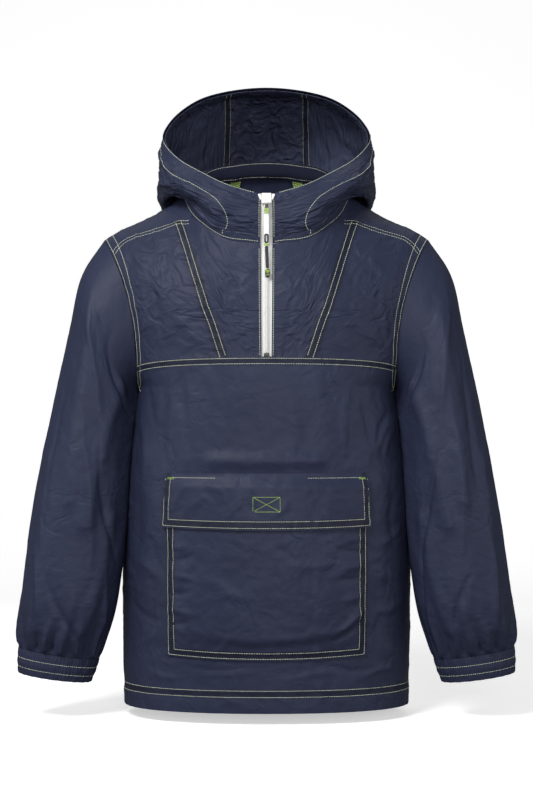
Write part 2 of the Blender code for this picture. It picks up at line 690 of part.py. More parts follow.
def zip_strip(x0, x1, z0, z1, back):
    """A strip that follows the middle of the front, with its face back behind the cloth's inner face."""

    def surface(u, v):
        z = z0 + (z1 - z0) * v
        x = x0 + (x1 - x0) * u
        return np.stack([x, zip_y(z) + back + x * x / 230, z], axis=-1)

    return surface


zip_tape = zip_strip(TAPE_INNER, TAPE_HALF, CHEST_SEAM_Z + 0.6, TAPE_TOP, TAPE_BACK)


# What lies on a panel: made from the panel's points, moved out


def across_at(x, up):
    """The across of a point of the front at x, below the armhole's widest level."""
    across = x / 165
    for _ in range(20):
        across = across + (x - body_shape(across, up)[..., 0]) / 175
    return across


def pocket_bulge(x, z):
    """How far the pocket stands away from the front."""
    side = np.clip(1 - (x / POCKET_HALF) ** 2, 0, 1) ** 0.45
    rise = np.clip((z - POCKET_Z[0]) / (POCKET_Z[1] - POCKET_Z[0]), 0, 1)
    return POCKET_BULGE * side * smooth(rise, (0, 0.12, 0.35, 0.7, 1), (0, 0.72, 1, 0.85, 0.66))


def pocket(u, v):
    x = (2 * u - 1) * POCKET_HALF
    z = POCKET_Z[0] + (POCKET_Z[1] - POCKET_Z[0]) * v - 4 * (1 - (2 * u - 1) ** 2) * (1 - v)
    return body(across_at(x, z), z, CLOTH + SEAM + pocket_bulge(x, z))


def flap(u, v):
    x = (2 * u - 1) * (FLAP_HALF - 2.5 * v)
    z = FLAP_Z[0] + (FLAP_Z[1] - FLAP_Z[0]) * v - 2 * (1 - (2 * u - 1) ** 2) * (1 - v)
    off = np.clip((FLAP_Z[1] - z) / 17, 0, 1)
    off = off * off * (3 - 2 * off)
    return body(across_at(x, z), z, CLOTH + 3 * SEAM + off * (pocket_bulge(x, z) + CLOTH + 2 * SEAM))


TAPE_DROP, TAPE_RISE = 2.6, 0.03  # the neck tape's reach below the neckline, as up, and above it, as along
TAPE_ROWS = (0, 0.4, 0.6, 1)
TAPE_INSIDE = -(6 * SEAM + TAPE_THICK)


def neck_tape(station, v):
    """The tape inside the back of the neck, half below the seam on the body and half above it on the hood."""
    sign = np.where(station < 0, -1.0, 1.0)
    place = neck(np.abs(station))
    across = place[..., 0] * sign
    rows = [body(across, place[..., 1] + drop, TAPE_INSIDE) for drop in (TAPE_DROP, 0.5)]
    rows += [hood(station, np.full(station.shape, rise), TAPE_INSIDE) for rise in (0.006, TAPE_RISE)]
    return own_smooth(v, TAPE_ROWS, np.stack(rows))


ALLOWANCE = 0.047  # the overlocked seam allowance's width, as across


def seam_allowance(u, v):
    """The overlocked allowance of a back seam: a strip that the back's middle panel covers."""
    place = back_line(v)
    return np.stack([place[..., 0] - 0.004 - ALLOWANCE * (1 - u), place[..., 1]], axis=-1)


FACING_END = 0.97
FACING_TOP = 0.992  # just below the rim
GUSSET_END = 0.159  # the station of the middle panel's edge


def facing(station, v):
    start = smooth(np.abs(station), FACING["station"], FACING["along"])
    return hood(station, start + (FACING_TOP - start) * v, TAPE_INSIDE)


def gusset(u, v):
    return hood(GUSSET_END * (2 * u - 1), v)


# The model

for old in list(bpy.data.objects):
    bpy.data.objects.remove(old)
anorak = bpy.data.collections.new("anorak")
bpy.context.scene.collection.children.link(anorak)
cutters = bpy.data.collections.new("cutters")
bpy.context.scene.collection.children.link(cutters)

navy = material("navy_cloth", NAVY, 0.55)
shade = material("navy_cloth_inside", NAVY_SHADE, 0.6)
green = material("green_overlock", GREEN, 0.8)
white = material("white_zip", WHITE, 0.45)
ink = material("black_trim", INK, 0.5)

wall("front_lower", on_body(front_lower), 20, FRONT_ROWS, CLOTH, navy)
wall("back_centre", on_body(back_centre), 8, CENTRE_ROWS, CLOTH, navy, turn=-1)
wall("hood_centre", gusset, 4, HOOD_STEPS, CLOTH, navy, turn=-1)
for side, sign in (("left", -1), ("right", 1)):
    wall(f"yoke_centre_{side}", on_body(yoke_centre, sign), YOKE_COLUMNS, YOKE_ROWS, CLOTH, navy, turn=sign)
    wall(f"yoke_side_{side}", on_body(yoke_side, sign), 4, YOKE_ROWS, CLOTH, navy, turn=sign)
    wall(f"back_side_{side}", on_body(back_side, sign), BACK_COLUMNS, BACK_ROWS, CLOTH, navy, turn=-sign)
    round_sleeve = mirrored(sleeve, sign)
    wall(f"sleeve_{side}", round_sleeve, 40, SLEEVE_STEPS, CLOTH, navy, turn=-sign, closed=True, outwards=-1)
    wall(f"cuff_{side}", mirrored(cuff, sign), 40, 2, CLOTH, navy, turn=-sign, closed=True, outwards=-1)
    hood_side = mirrored(hood, sign)
    wall(f"hood_side_{side}", hood_side, HOOD_COLUMNS, HOOD_STEPS, CLOTH, navy, turn=-sign)
    allowance = on_body(seam_allowance, sign, -(2 * SEAM + TAPE_THICK))
    wall(f"seam_allowance_{side}", allowance, 1, CENTRE_ROWS[1:-1], TAPE_THICK, green, turn=-sign)
    wall(f"zip_tape_{side}", mirrored(zip_tape, sign), 1, 20, TAPE_THICK, white, turn=sign)
inside_steps = np.concatenate([[0, BACK_START / 2], HOOD_COLUMNS[:-1], [FACING_END]])
facing_columns = np.concatenate([-inside_steps[:0:-1], inside_steps])
wall("hood_facing", facing, facing_columns, 7, TAPE_THICK, shade, turn=-1)
inside_steps = np.concatenate([[0, BACK_START / 2], NECK_BACK[:5]])
tape_columns = np.concatenate([-inside_steps[:0:-1], inside_steps])
wall("neck_tape", neck_tape, tape_columns, TAPE_ROWS, TAPE_THICK, shade, turn=-1)
wall("pocket", pocket, 14, 9, CLOTH, navy)
wall("pocket_flap", flap, 14, 5, CLOTH, navy)

CHAIN_Z = (CHEST_SEAM_Z + 5, SLIDER_Z[0] - 0.4)
STOP_SIZE = (6, 2.4, 4.2)
wall("zip_chain", zip_strip(-CHAIN_HALF, CHAIN_HALF, *CHAIN_Z, CHAIN_BACK), 2, 20, CHAIN_THICK, white)
stop_z = (CHEST_SEAM_Z + CHAIN_Z[0]) / 2
stop_y = float(zip_y(stop_z)) - STOP_SIZE[1] / 2 + CHAIN_BACK
block("zip_stop", STOP_SIZE, (0, stop_y, stop_z), ink, bevel=0.4)


# The slider, with the two ears and the pin that carry its pull, and the pull with what hangs on it


def tool(name, made):
    """Keeps an object as a boolean's operand only."""
    anorak.objects.unlink(made)
    cutters.objects.link(made)
    made.hide_render = True
    made.display_type = "WIRE"
    return made


def combine(target, other, operation):
    step = target.modifiers.new(other.name, "BOOLEAN")
    step.operation = operation
    step.object = other


def bar(name, radius, length, centre, look, parent=None):
    """A round bar along X, given in millimetres."""
    bm = bmesh.new()
    bmesh.ops.create_cone(
        bm, cap_ends=True, segments=16, radius1=radius * MM, radius2=radius * MM, depth=length * MM
    )
    made = finish(name, bm, look)
    made.location = [part * MM for part in centre]
    made.rotation_euler = (0, math.pi / 2, 0)
    made.parent = parent
    return made


SLIDER_THICK = 5.5
SLIDER_WIDE = 12.0
PIN_OUT = 2.8  # the pin's axis, out from the slider's front
PIN_Z = 4.0
PIN_RADIUS = 0.85
EAR_X = 2.9
EAR_SIZE = (1.1, PIN_OUT + 2.3, 3.2)
EAR_SUNK = 1.3  # how deep the ears stand in the slider
slider_z = sum(SLIDER_Z) / 2
slider_back = float(zip_y(slider_z)) + CHAIN_BACK
slider_front = slider_back - SLIDER_THICK
PIVOT = (0.0, slider_front - PIN_OUT, PIN_Z)
slider_size = (SLIDER_WIDE, SLIDER_THICK, SLIDER_Z[1] - SLIDER_Z[0])
slider = block("zip_slider", slider_size, (0, slider_back - SLIDER_THICK / 2, slider_z), white, bevel=1.2)
for name, x in (("ear_left", -EAR_X), ("ear_right", EAR_X)):
    ear = block(name, EAR_SIZE, (x, slider_front - EAR_SIZE[1] / 2 + EAR_SUNK, PIN_Z), white)
    combine(slider, tool(name, ear), "UNION")
combine(slider, tool("pin", bar("pin", PIN_RADIUS, 2 * EAR_X + 0.6, PIVOT, white)), "UNION")

TAB_WIDE, TAB_THICK, TAB_LONG = 5.5, 1.4, 41.0
NECK_WIDE = 3.6  # the tab's narrow top, which passes between the ears
KNUCKLE_RADIUS, BORE_RADIUS = 2.3, 1.25
END_SIZE = (7.8, 3.6, 10.5)
STRAP_Y = -(TAB_THICK + 1.6) / 2 - SEAM  # the webbing lies in front of the tab's end
END_DROP = 84.0  # from the pin to the middle of the puller's end
end_y = float(zip_y(PIN_Z - END_DROP - END_SIZE[2] / 2)) - CLOTH - SEAM - END_SIZE[1] / 2 - STRAP_Y
tilt = -math.asin((PIVOT[1] - end_y) / END_DROP)

pivot = bpy.data.objects.new("pull_pivot", None)
pivot.location = [part * MM for part in PIVOT]
pivot.rotation_euler = (tilt, 0, 0)
anorak.objects.link(pivot)


def hung(made):
    made.parent = pivot
    return made


tab_size = (TAB_WIDE, TAB_THICK, TAB_LONG - 3)
tab = hung(block("pull_tab", tab_size, (0, 0, -(TAB_LONG + 3) / 2), white, bevel=0.5))
tab_neck = hung(block("tab_neck", (NECK_WIDE, TAB_THICK, 4), (0, 0, -2.4), white))
combine(tab, tool("tab_neck", tab_neck), "UNION")
knuckle = bar("tab_knuckle", KNUCKLE_RADIUS, NECK_WIDE, (0, 0, 0), white, pivot)
combine(tab, tool("tab_knuckle", knuckle), "UNION")
bore = bar("tab_bore", BORE_RADIUS, 5, (0, 0, 0), white, pivot)
combine(tab, tool("tab_bore", bore), "DIFFERENCE")
hung(block("puller_loop", (5.4, 1.6, 11.6), (0, STRAP_Y, -43.0), ink, bevel=0.5))
hung(block("puller_whip", (6.4, 2.6, 2.4), (0, STRAP_Y, -50.3), green, bevel=0.6))
strap = hung(block("puller_strap", (4.4, 1.6, 26.4), (0, STRAP_Y, -65.0), ink))
for vert in strap.data.vertices:
    if vert.co.z < 0:
        vert.co.x *= 0.75
hung(block("puller_end", END_SIZE, (0, STRAP_Y, -END_DROP), green, bevel=1.2))
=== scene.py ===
# %% [markdown]
# # A child's hooded anorak pullover
# The garment is light navy nylon, filled out as on a form that can't be seen: a body of eight panels, two gathered
# sleeves with elastic cuffs, a three-part hood, a half zip and a big patch pocket under a flap. This lesson lays each
# panel again as a thin, finely divided shell on the same form as its solid, adds the creases, and then the
# sewing: rows of pale green stitches, the zip's teeth and slider and the overlocked edges inside.

# %% Load the frame
import math
from contextlib import contextmanager
from functools import partial

import bpy
import numpy as np
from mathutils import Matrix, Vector


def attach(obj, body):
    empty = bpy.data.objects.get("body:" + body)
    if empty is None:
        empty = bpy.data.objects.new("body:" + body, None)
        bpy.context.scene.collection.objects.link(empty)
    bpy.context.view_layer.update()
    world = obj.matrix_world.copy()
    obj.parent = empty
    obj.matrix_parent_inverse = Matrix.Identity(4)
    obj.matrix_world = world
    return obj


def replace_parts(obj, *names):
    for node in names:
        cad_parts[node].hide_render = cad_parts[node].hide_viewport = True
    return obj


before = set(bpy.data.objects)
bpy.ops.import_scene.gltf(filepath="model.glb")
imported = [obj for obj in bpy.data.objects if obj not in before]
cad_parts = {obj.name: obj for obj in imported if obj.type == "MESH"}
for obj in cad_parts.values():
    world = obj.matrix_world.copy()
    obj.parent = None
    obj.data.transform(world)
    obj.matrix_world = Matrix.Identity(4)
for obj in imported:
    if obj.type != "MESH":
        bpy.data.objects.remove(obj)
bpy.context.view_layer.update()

SIDES = (("left", -1), ("right", 1))  # each side's name and the sign of its x
MM = 0.001

# %% [markdown]
# ## Camera, floor and light
# A garment on a plain ground is lit by large soft lights, so its folds show as slow changes of tone. The floor is one
# sheet that curves up behind, so no horizon shows, and it glows a little as a light table does, which keeps the shadow
# under the hem pale. It is a stage and not part of the object.

# %% Camera
EYE = (0.0, -2.5, -0.229)
camera_data = bpy.data.cameras.new("camera")
camera_data.sensor_fit = "VERTICAL"
camera_data.angle = math.radians(22.1)
camera = bpy.data.objects.new("camera", camera_data)
camera.location = EYE
camera.rotation_euler = (math.radians(90), 0, 0)
bpy.context.scene.collection.objects.link(camera)
bpy.context.scene.camera = camera

# %% Floor
FLOOR_Z, FLOOR_NEAR = -0.612, -0.85
FLOOR_WIDE, FLOOR_RUN, FLOOR_BEND = 12, 2.35, 1.2  # its width, its level part, the radius that it curves up with


def deselect():
    bpy.ops.object.select_all(action="DESELECT")


deselect()
bpy.ops.mesh.primitive_grid_add(x_subdivisions=2, y_subdivisions=60, size=1)
floor = bpy.context.object
floor.name = "floor"
for vert in floor.data.vertices:
    run = vert.co.y + 0.5  # 0 before the garment, 1 high up behind it
    bend = min(max((run - 0.5) / 0.25, 0), 1) * math.pi / 2
    vert.co = (
        vert.co.x * FLOOR_WIDE,
        FLOOR_NEAR + FLOOR_RUN * min(run / 0.5, 1) + FLOOR_BEND * math.sin(bend),
        FLOOR_Z + FLOOR_BEND * (1 - math.cos(bend)) + max(run - 0.75, 0) * FLOOR_WIDE,
    )
bpy.ops.object.shade_smooth()
floor.visible_diffuse = floor.visible_glossy = False  # its glow is only a ground and lights nothing

# %% Lights
SOFT_LIGHTS = (  # name, place, size, power; each looks at the garment's middle
    ("above_front", (-0.8, -1.4, 1.1), (0.8, 0.6), 38),
    ("front", (0.3, -2.8, 0.0), (0.6, 0.5), 23),
    ("left_front", (-2.2, -1.1, 0.0), (1.3, 1.3), 13),
    ("right_front", (2.2, -1.1, -0.1), (1.3, 1.3), 14),
    ("behind", (0.0, 1.2, 1.9), (3.0, 1.0), 12),
)
MIDDLE = Vector((0, 0, -0.25))
for name, place, size, power in SOFT_LIGHTS:
    light = bpy.data.lights.new(name, "AREA")
    light.shape, light.size, light.size_y, light.energy = "RECTANGLE", size[0], size[1], power
    lamp = bpy.data.objects.new(name, light)
    lamp.location = place
    lamp.rotation_euler = (MIDDLE - Vector(place)).to_track_quat("-Z", "Y").to_euler()
    bpy.context.scene.collection.objects.link(lamp)
world = bpy.data.worlds.new("studio")
world.use_nodes = True
world.node_tree.nodes["Background"].inputs["Color"].default_value = (1, 1, 1, 1)
world.node_tree.nodes["Background"].inputs["Strength"].default_value = 0.15
bpy.context.scene.world = world
bpy.context.scene.view_settings.view_transform = "Standard"

# %% [markdown]
# ## Shader maths in plain expressions
# Node trees are easier to read as sums. A Wire holds one socket: signs between wires add Math nodes, and add() makes
# any other node with its settings first and its sockets after.


# %% The wire
class Wire:
    def __init__(self, tree, socket=None):
        self.tree, self.socket = tree, socket

    def add(self, kind, settings=None, out=0, **values):
        """A node; a socket is named with _ for a blank, or i and its number."""
        node = self.tree.nodes.new("ShaderNode" + kind)
        for key, value in (settings or {}).items():
            if key == "stops":
                for stop, (place, colour) in zip((node.color_ramp.elements[0], node.color_ramp.elements[-1]), value):
                    stop.position, stop.color = place, colour
            else:
                setattr(node, key, value)
        for key, value in values.items():
            into = node.inputs[int(key[1:]) if key[0] == "i" and key[1:].isdigit() else key.replace("_", " ")]
            if isinstance(value, Wire):
                self.tree.links.new(value.socket, into)
            else:
                into.default_value = value
        return Wire(self.tree, node.outputs[out])

    def maths(self, operation, first, second=0.0):
        return self.add("Math", {"operation": operation}, i0=first, i1=second)

    def __add__(self, other):
        return self.maths("ADD", self, other)

    def __sub__(self, other):
        return self.maths("SUBTRACT", self, other)

    def __rsub__(self, other):
        return self.maths("SUBTRACT", other, self)

    def __mul__(self, other):
        return self.maths("MULTIPLY", self, other)

    __radd__, __rmul__ = __add__, __mul__

    def within(self, low, high):
        """0 at low and 1 at high, and level beyond them."""
        return self.add("MapRange", Value=self, From_Min=low, From_Max=high)

    def blend(self, first, second):
        """A colour between two, by this number."""
        return self.add("Mix", {"data_type": "RGBA"}, out=2, i0=self, i6=first, i7=second)


def new_look(name, **constants):
    """A material, its tree's first wire and its shader."""
    look = bpy.data.materials.new(name)
    look.use_nodes = True
    shader = look.node_tree.nodes["Principled BSDF"]
    for key, value in constants.items():
        shader.inputs[key.replace("_", " ")].default_value = value
    return look, Wire(look.node_tree), shader


def feed(shader, **wires):
    for key, wire in wires.items():
        shader.id_data.links.new(wire.socket, shader.inputs[key.replace("_", " ")])


# %% [markdown]
# ## Materials
# The nylon is a plain weave of fine yarn: dark navy, with a soft satin gloss. Its colour and gloss wander a little. The
# weave and the finest creases are small bumps that follow the panel's own map, which is in metres. Thread is spun and
# matt, and the zip is white moulded plastic on a ribbed woven tape.


# %% Nylon
def nylon(name, light, dark, roughness, creased):
    """creased: how much of the cloth carries small sharp creases, and how deep they are."""
    look, wire, shader = new_look(name, Specular_IOR_Level=0.15)
    place = wire.add("UVMap", {"uv_map": "cloth"})
    slow = wire.add("TexNoise", Vector=place, Scale=11.0, Detail=3.0)
    soft = wire.add("TexNoise", Vector=place, Scale=42.0, Detail=2.0, Distortion=0.7)
    fine = wire.add("TexNoise", Vector=place, Scale=95.0, Detail=3.0, Roughness=0.6, Distortion=0.4)
    across = wire.add("TexWave", {"bands_direction": "X"}, out=1, Vector=place, Scale=560.0)
    along = wire.add("TexWave", {"bands_direction": "Y"}, out=1, Vector=place, Scale=560.0)
    shade = (0.75 * slow + 0.25 * fine).within(0.35, 0.65)
    crests = wire.maths("ABSOLUTE", soft - 0.5).within(0.2, 0.0)
    patch = slow.within(0.62 - 0.25 * creased, 0.82 - 0.25 * creased)
    height = 0.012 * (across * along) + 0.6 * soft + creased * patch * (0.6 * crests + 0.55 * fine) + 0.12 * fine
    bump = wire.add("Bump", Strength=1.0, Distance=0.0026, Height=height)
    # Painted shade: between twin rows of stitches the colour is drawn toward near black, standing in for the shade of
    # the puckers there.
    painted_seam_shade = wire.add("Attribute", {"attribute_name": "painted_seam_shade"}, out=2) * (0.25 + 0.7 * fine)
    colour = painted_seam_shade.blend(shade.blend(dark, light), (0.006, 0.007, 0.013, 1))
    feed(shader, Base_Color=colour, Roughness=roughness - 0.05 + 0.1 * slow, Normal=bump)
    return look


LIGHT_NAVY, DARK_NAVY = (0.026, 0.031, 0.062, 1), (0.020, 0.024, 0.050, 1)
navy = nylon("navy_nylon", LIGHT_NAVY, DARK_NAVY, 0.5, 0.5)
navy_creased = nylon("navy_nylon_creased", LIGHT_NAVY, DARK_NAVY, 0.5, 1.0)
# Painted light: the inside's nylon is the same cloth painted about twice as light, standing in for the light that
# reaches into the hood.
navy_inside_painted_light = nylon("navy_nylon_inside_painted_light", (0.056, 0.064, 0.112, 1), (0.046, 0.053, 0.094, 1), 0.5, 2.0)


# %% Thread and overlocked edge
def thread_look(name, light, dark):
    look, wire, shader = new_look(name, Roughness=0.75)
    place = wire.add("TexCoord", out=3)
    tone = wire.add("TexNoise", Vector=place, Scale=900.0, Detail=2.0).within(0.3, 0.7)
    feed(shader, Base_Color=tone.blend(dark, light))
    return look


thread = thread_look("pale_green_thread", (0.62, 0.66, 0.50, 1), (0.46, 0.50, 0.36, 1))
bright_thread = thread_look("green_thread", (0.42, 0.60, 0.12, 1), (0.26, 0.42, 0.06, 1))


def overlock_look():
    look, wire, shader = new_look("green_overlock", Roughness=0.8)
    place = wire.add("UVMap", {"uv_map": "cloth"})
    loops = wire.add("TexWave", {"bands_direction": "Y"}, out=1, Vector=place, Scale=190.0, Distortion=2.5)
    fuzz = wire.add("TexNoise", Vector=place, Scale=600.0)
    bump = wire.add("Bump", Strength=0.9, Distance=0.0005, Height=loops + 0.4 * fuzz)
    feed(shader, Base_Color=(0.7 * loops + 0.3 * fuzz).blend((0.10, 0.16, 0.03, 1), (0.36, 0.50, 0.14, 1)), Normal=bump)
    return look


overlock = overlock_look()


# %% Woven tapes, moulded plastic and black cord
def ribbed(name, light, dark, roughness, scale, gloss=0.5):
    look, wire, shader = new_look(name, Roughness=roughness, Specular_IOR_Level=gloss)
    place = wire.add("UVMap", {"uv_map": "cloth"})
    ribs = wire.add("TexWave", {"bands_direction": "X"}, out=1, Vector=place, Scale=scale)
    picks = wire.add("TexWave", {"bands_direction": "Y"}, out=1, Vector=place, Scale=scale * 1.7)
    cloth = 0.7 * ribs + 0.3 * picks
    bump = wire.add("Bump", Strength=0.6, Distance=0.0003, Height=cloth)
    feed(shader, Base_Color=cloth.blend(dark, light), Normal=bump)
    return look


tape_look = ribbed("white_tape", (0.86, 0.86, 0.85, 1), (0.68, 0.68, 0.67, 1), 0.75, 330.0)
neck_tape_look = ribbed("navy_tape", (0.013, 0.015, 0.032, 1), (0.007, 0.008, 0.018, 1), 0.8, 300.0, 0.1)


def solid_look(name, light, dark, roughness, scale, depth):
    look, wire, shader = new_look(name, Coat_Weight=0.1, Coat_Roughness=0.3)
    place = wire.add("TexCoord", out=3)
    grain = wire.add("TexNoise", Vector=place, Scale=scale, Detail=3.0)
    bump = wire.add("Bump", Strength=0.4, Distance=depth, Height=grain)
    feed(
        shader,
        Base_Color=grain.within(0.3, 0.7).blend(dark, light),
        Roughness=roughness - 0.08 + 0.16 * grain,
        Normal=bump,
    )
    return look


white_plastic = solid_look("white_plastic", (0.88, 0.88, 0.87, 1), (0.80, 0.80, 0.79, 1), 0.38, 400.0, 0.00008)
black_plastic = solid_look("black_plastic", (0.012, 0.013, 0.015, 1), (0.006, 0.007, 0.008, 1), 0.45, 500.0, 0.0001)
webbing = solid_look("black_webbing", (0.02, 0.022, 0.024, 1), (0.008, 0.009, 0.01, 1), 0.7, 1500.0, 0.0003)

floor_look, floor_wire, floor_shader = new_look("paper", Roughness=0.9, Specular_IOR_Level=0.0, Emission_Strength=0.5)
floor_shader.inputs["Emission Color"].default_value = (1, 1, 1, 1)
floor_grain = floor_wire.add("TexNoise", Vector=floor_wire.add("TexCoord", out=3), Scale=3.0)
feed(floor_shader, Base_Color=floor_grain.blend((0.97, 0.97, 0.97, 1), (0.98, 0.98, 0.98, 1)))
floor.data.materials.append(floor_look)

# %% [markdown]
# ## The form's own numbers
# Every length below is in millimetres, on the same tables as the solids, so that each fine shell lies where its solid
# does. A table's rows are joined by smooth cubics.

# %% Driving sizes
CLOTH = 1.4  # from the form to a panel's outer face
NYLON = 0.5  # the shell's own thickness
SEAM = 0.35  # between two layers that lie on each other
HEM_Z, ARMPIT_Z, BREAK_Z, SHOULDER_TIP_Z = -598.0, -213.0, -124.0, -35.0
ARMPIT_X, SHOULDER_TIP_X = 155.0, 197.0
SIDE_Y = 8.0
ARMHOLE_DEPTH, ARMHOLE_ROUND, ARMHOLE_FLARE = 54.0, 2.4, 2.7
SECTION_ROUND = 0.62  # how square a level section of the body is
FRONT_ROUND, BACK_ROUND = (1.5, 0.8), (2.0, 0.3)  # how square it is over the shoulders: in the middle, more at the edge
CHEST_SEAM_Z, CHEST_SEAM_DROP = -178.5, 8.4
ZIP_GAP = 6.75
POCKET_HALF, POCKET_Z, POCKET_BULGE = 116.0, (-531.0, -336.0), 9.0
FLAP_HALF, FLAP_Z = 120.0, (-379.0, -315.0)
TORSO = {
    "z": (-598, -500, -400, -320, -260, -213, -178, -124),
    "side": (172, 174, 173.8, 169.7, 162.2, 155, 155, 155),
    "front": (-92, -97, -101, -102, -101, -100, -98, -94),
    "back": (110, 108, 108, 111, 116, 118, 119, 119),
}
RIDGE = {
    "x": (0, 40, 70, 88, 98, 112, 127, 147, 176, 197),
    "z": (100, 97, 80, 46, 24, 11, 1.5, -9.5, -22, -35),
}
NECKLINE = {
    "station": (0, 0.16, 0.35, 0.50, 0.62, 0.74, 0.84, 0.92, 1.0),
    "x": (0, 44, 72, 88, 98, 94, 78, 52, 7),
    "z": (58, 54, 46, 36, 23, 3, -18, -37, -45),
}
SHOULDER_SEAM = {"x": (106, 128, 160, 175), "z": (-14, -21, -30, -38)}  # between its two ends
PRINCESS_SEAM = {"x": (97.5, 90.5, 81, 71.5, 50.5), "z": (-38, -60, -90, -120, -184)}  # below the shoulder seam
BACK_SEAM = {"up": (90, 160, 300, 598), "across": (0.175, 0.215, 0.245, 0.27)}

# %% Distances of the rows of stitches from their seam or edge
CHEST_ROWS, HEM_ROWS, ARMHOLE_ROWS = (1.7, 8.0), (19.5, 27.0), (2.2, 8.2)
SHOULDER_ROWS, BACK_ROWS = (1.6, 6.4), (1.6, 7.8)
PRINCESS_ROW = 3.4  # to each side of the seam
POCKET_ROWS = ((2.0, 2.0), (8.6, 8.6))  # from the sides, from the foot
FLAP_ROWS = ((1.6, 2.4), (7.6, 9.8))
CUFF_ROWS = (0.36, 0.72)  # parts of the cuff's length

# %% The folds that the solids have too
BODY_FOLDS = (
    (-62, -301, 58, -300, 9, 4.5),
    (-88, -222, -94, -300, 14, 2.5),
    (64, -212, 74, -298, 16, 2.5),
    (142, -258, 124, -288, 9, 3.0),
    (-138, -300, -126, -380, 16, 2.5),
    (134, -330, 130, -440, 16, 2.5),
)
BACK_FOLDS = (
    (-70, -120, -90, -300, 18, 3.0),
    (60, -140, 84, -330, 18, 3.0),
    (-30, -330, 70, -352, 14, 2.5),
    (-120, -420, -60, -470, 16, 2.5),
)
SLEEVE_FOLDS = (
    (0.55, 0.12, 0.85, 0.62, 9, 3.5),
    (1.25, 0.10, 1.10, 0.55, 11, 3.0),
    (1.55, 0.45, 1.35, 0.92, 10, 3.0),
    (0.45, 0.60, 0.70, 0.92, 9, 3.0),
    (2.60, 0.20, 2.45, 0.80, 13, 3.0),
    (3.40, 0.15, 3.20, 0.70, 11, 3.5),
)
HOOD_FOLDS = (
    (0.58, 0.45, 0.76, 0.60, 8, 2.5),
    (0.50, 0.75, 0.70, 0.80, 8, 2.5),
    (0.05, 0.62, 0.30, 0.50, 14, 4.0),
    (0.12, 0.86, 0.40, 0.80, 12, 3.5),
    (0.90, 0.10, 0.93, 0.70, 6, 1.5),
)


# %% Tables and folds as functions
def smooth(at, keys, values, own=()):
    """The value of a table's column at a key, on a cubic through the rows; own picks a column for each point."""
    keys = np.asarray(keys, float)
    values = np.asarray(values, float)
    at = np.clip(at, keys[0], keys[-1])
    row = np.clip(np.searchsorted(keys, at, side="right") - 1, 0, len(keys) - 2)
    slope = np.gradient(values, keys, axis=0)
    step = keys[row + 1] - keys[row]
    t = (at - keys[row]) / step
    if values.ndim > 1:
        t, step = t[..., None], step[..., None]
    low, high = (row, *own), (row + 1, *own)
    here = values[low] * (1 + 2 * t) * (1 - t) ** 2 + slope[low] * step * t * (1 - t) ** 2
    there = values[high] * t * t * (3 - 2 * t) + slope[high] * step * t * t * (t - 1)
    return here + there


def own_smooth(at, keys, columns):
    """As smooth, where every point has a column of its own: columns is rows by points by 3."""
    return smooth(at, keys, columns, (np.arange(at.size),))


def folds(x, y, table):
    """The height of the large soft folds: each is a rounded ridge between its two ends."""
    height = np.zeros(np.broadcast(x, y).shape)
    for x0, y0, x1, y1, width, high in table:
        dx, dy = x1 - x0, y1 - y0
        along = np.clip(((x - x0) * dx + (y - y0) * dy) / (dx * dx + dy * dy), 0, 1)
        away = np.hypot(x - x0 - along * dx, y - y0 - along * dy)
        height = height + high * np.exp(-((away / width) ** 2))
    return height


def eased(t):
    """0 to 1 with a soft start and end."""
    t = np.clip(t, 0, 1)
    return t * t * (3 - 2 * t)


# %% [markdown]
# ## Creases
# Thin nylon doesn't fold like wool: it breaks into soft ridges with narrow crests that run out at both ends, never
# two alike. Each crease is one row of a table: its two ends, how far it bows, its half width and its height, below
# zero for a trough. A fine uneven crumple, from a fixed table of random numbers, is laid under them.

# %% Crease and crumple
LATTICE = np.random.default_rng(7).random((64, 64))


def wander(x, y):
    """Smooth random values from 0 to 1, one lattice step to a unit."""
    i, j = np.floor(x).astype(int), np.floor(y).astype(int)
    s, t = eased(x - i), eased(y - j)
    low = LATTICE[i % 64, j % 64] * (1 - s) + LATTICE[(i + 1) % 64, j % 64] * s
    high = LATTICE[i % 64, (j + 1) % 64] * (1 - s) + LATTICE[(i + 1) % 64, (j + 1) % 64] * s
    return low * (1 - t) + high * t


def crumple(x, y, wide, tall):
    """Small sharp-crested dents, about 0.5 high, wide by tall in size."""
    a = x / wide + 1.3 * wander(y / tall + 9.1, x / wide + 3.7)
    b = y / tall + 1.3 * wander(x / wide + 21.4, y / tall + 7.9)
    total = np.zeros(np.broadcast(x, y).shape)
    for turn, scale, part in ((0.5, 1.0, 0.5), (1.9, 1.9, 0.3), (2.7, 3.5, 0.2)):
        c, s = math.cos(turn) * scale, math.sin(turn) * scale
        total = total + part * (1 - np.abs(2 * wander(a * c - b * s + 31, a * s + b * c + 31) - 1)) ** 2
    return total - 0.45


CREASE_DEPTH, CREASE_WIDTH = 1.7, 0.62  # the tables' sizes are for a calm, thick cloth


def creases(x, y, table):
    height = np.zeros(np.broadcast(x, y).shape)
    x = x + 2.5 * (wander(x / 17 + 40, y / 23 + 11) - 0.5)
    y = y + 2.5 * (wander(x / 21 + 15, y / 19 + 33) - 0.5)
    for x0, y0, x1, y1, bow, width, high in table:
        dx, dy = x1 - x0, y1 - y0
        length = math.hypot(dx, dy)
        along = ((x - x0) * dx + (y - y0) * dy) / length**2
        inside = np.clip(along, 0, 1)
        aside = ((x - x0) * dy - (y - y0) * dx) / length - bow * 4 * inside * (1 - inside)
        width = width * CREASE_WIDTH
        run = np.sin(math.pi * (0.08 + 0.84 * inside))
        away = np.hypot(aside / (width * (0.45 + 0.55 * run)), (along - inside) * length / width)
        height = height + high * run * np.exp(-(np.sqrt(away**2 + 0.03) ** 1.45))
    return height * CREASE_DEPTH


# %% [markdown]
# ## The body's form
# The body is one surface from hem over the shoulders to hem. `across` runs from -1 to 1 between the armholes or side
# seams. `up` is the height on the front, 0 on the shoulder ridge, and the height with its sign turned down the back.


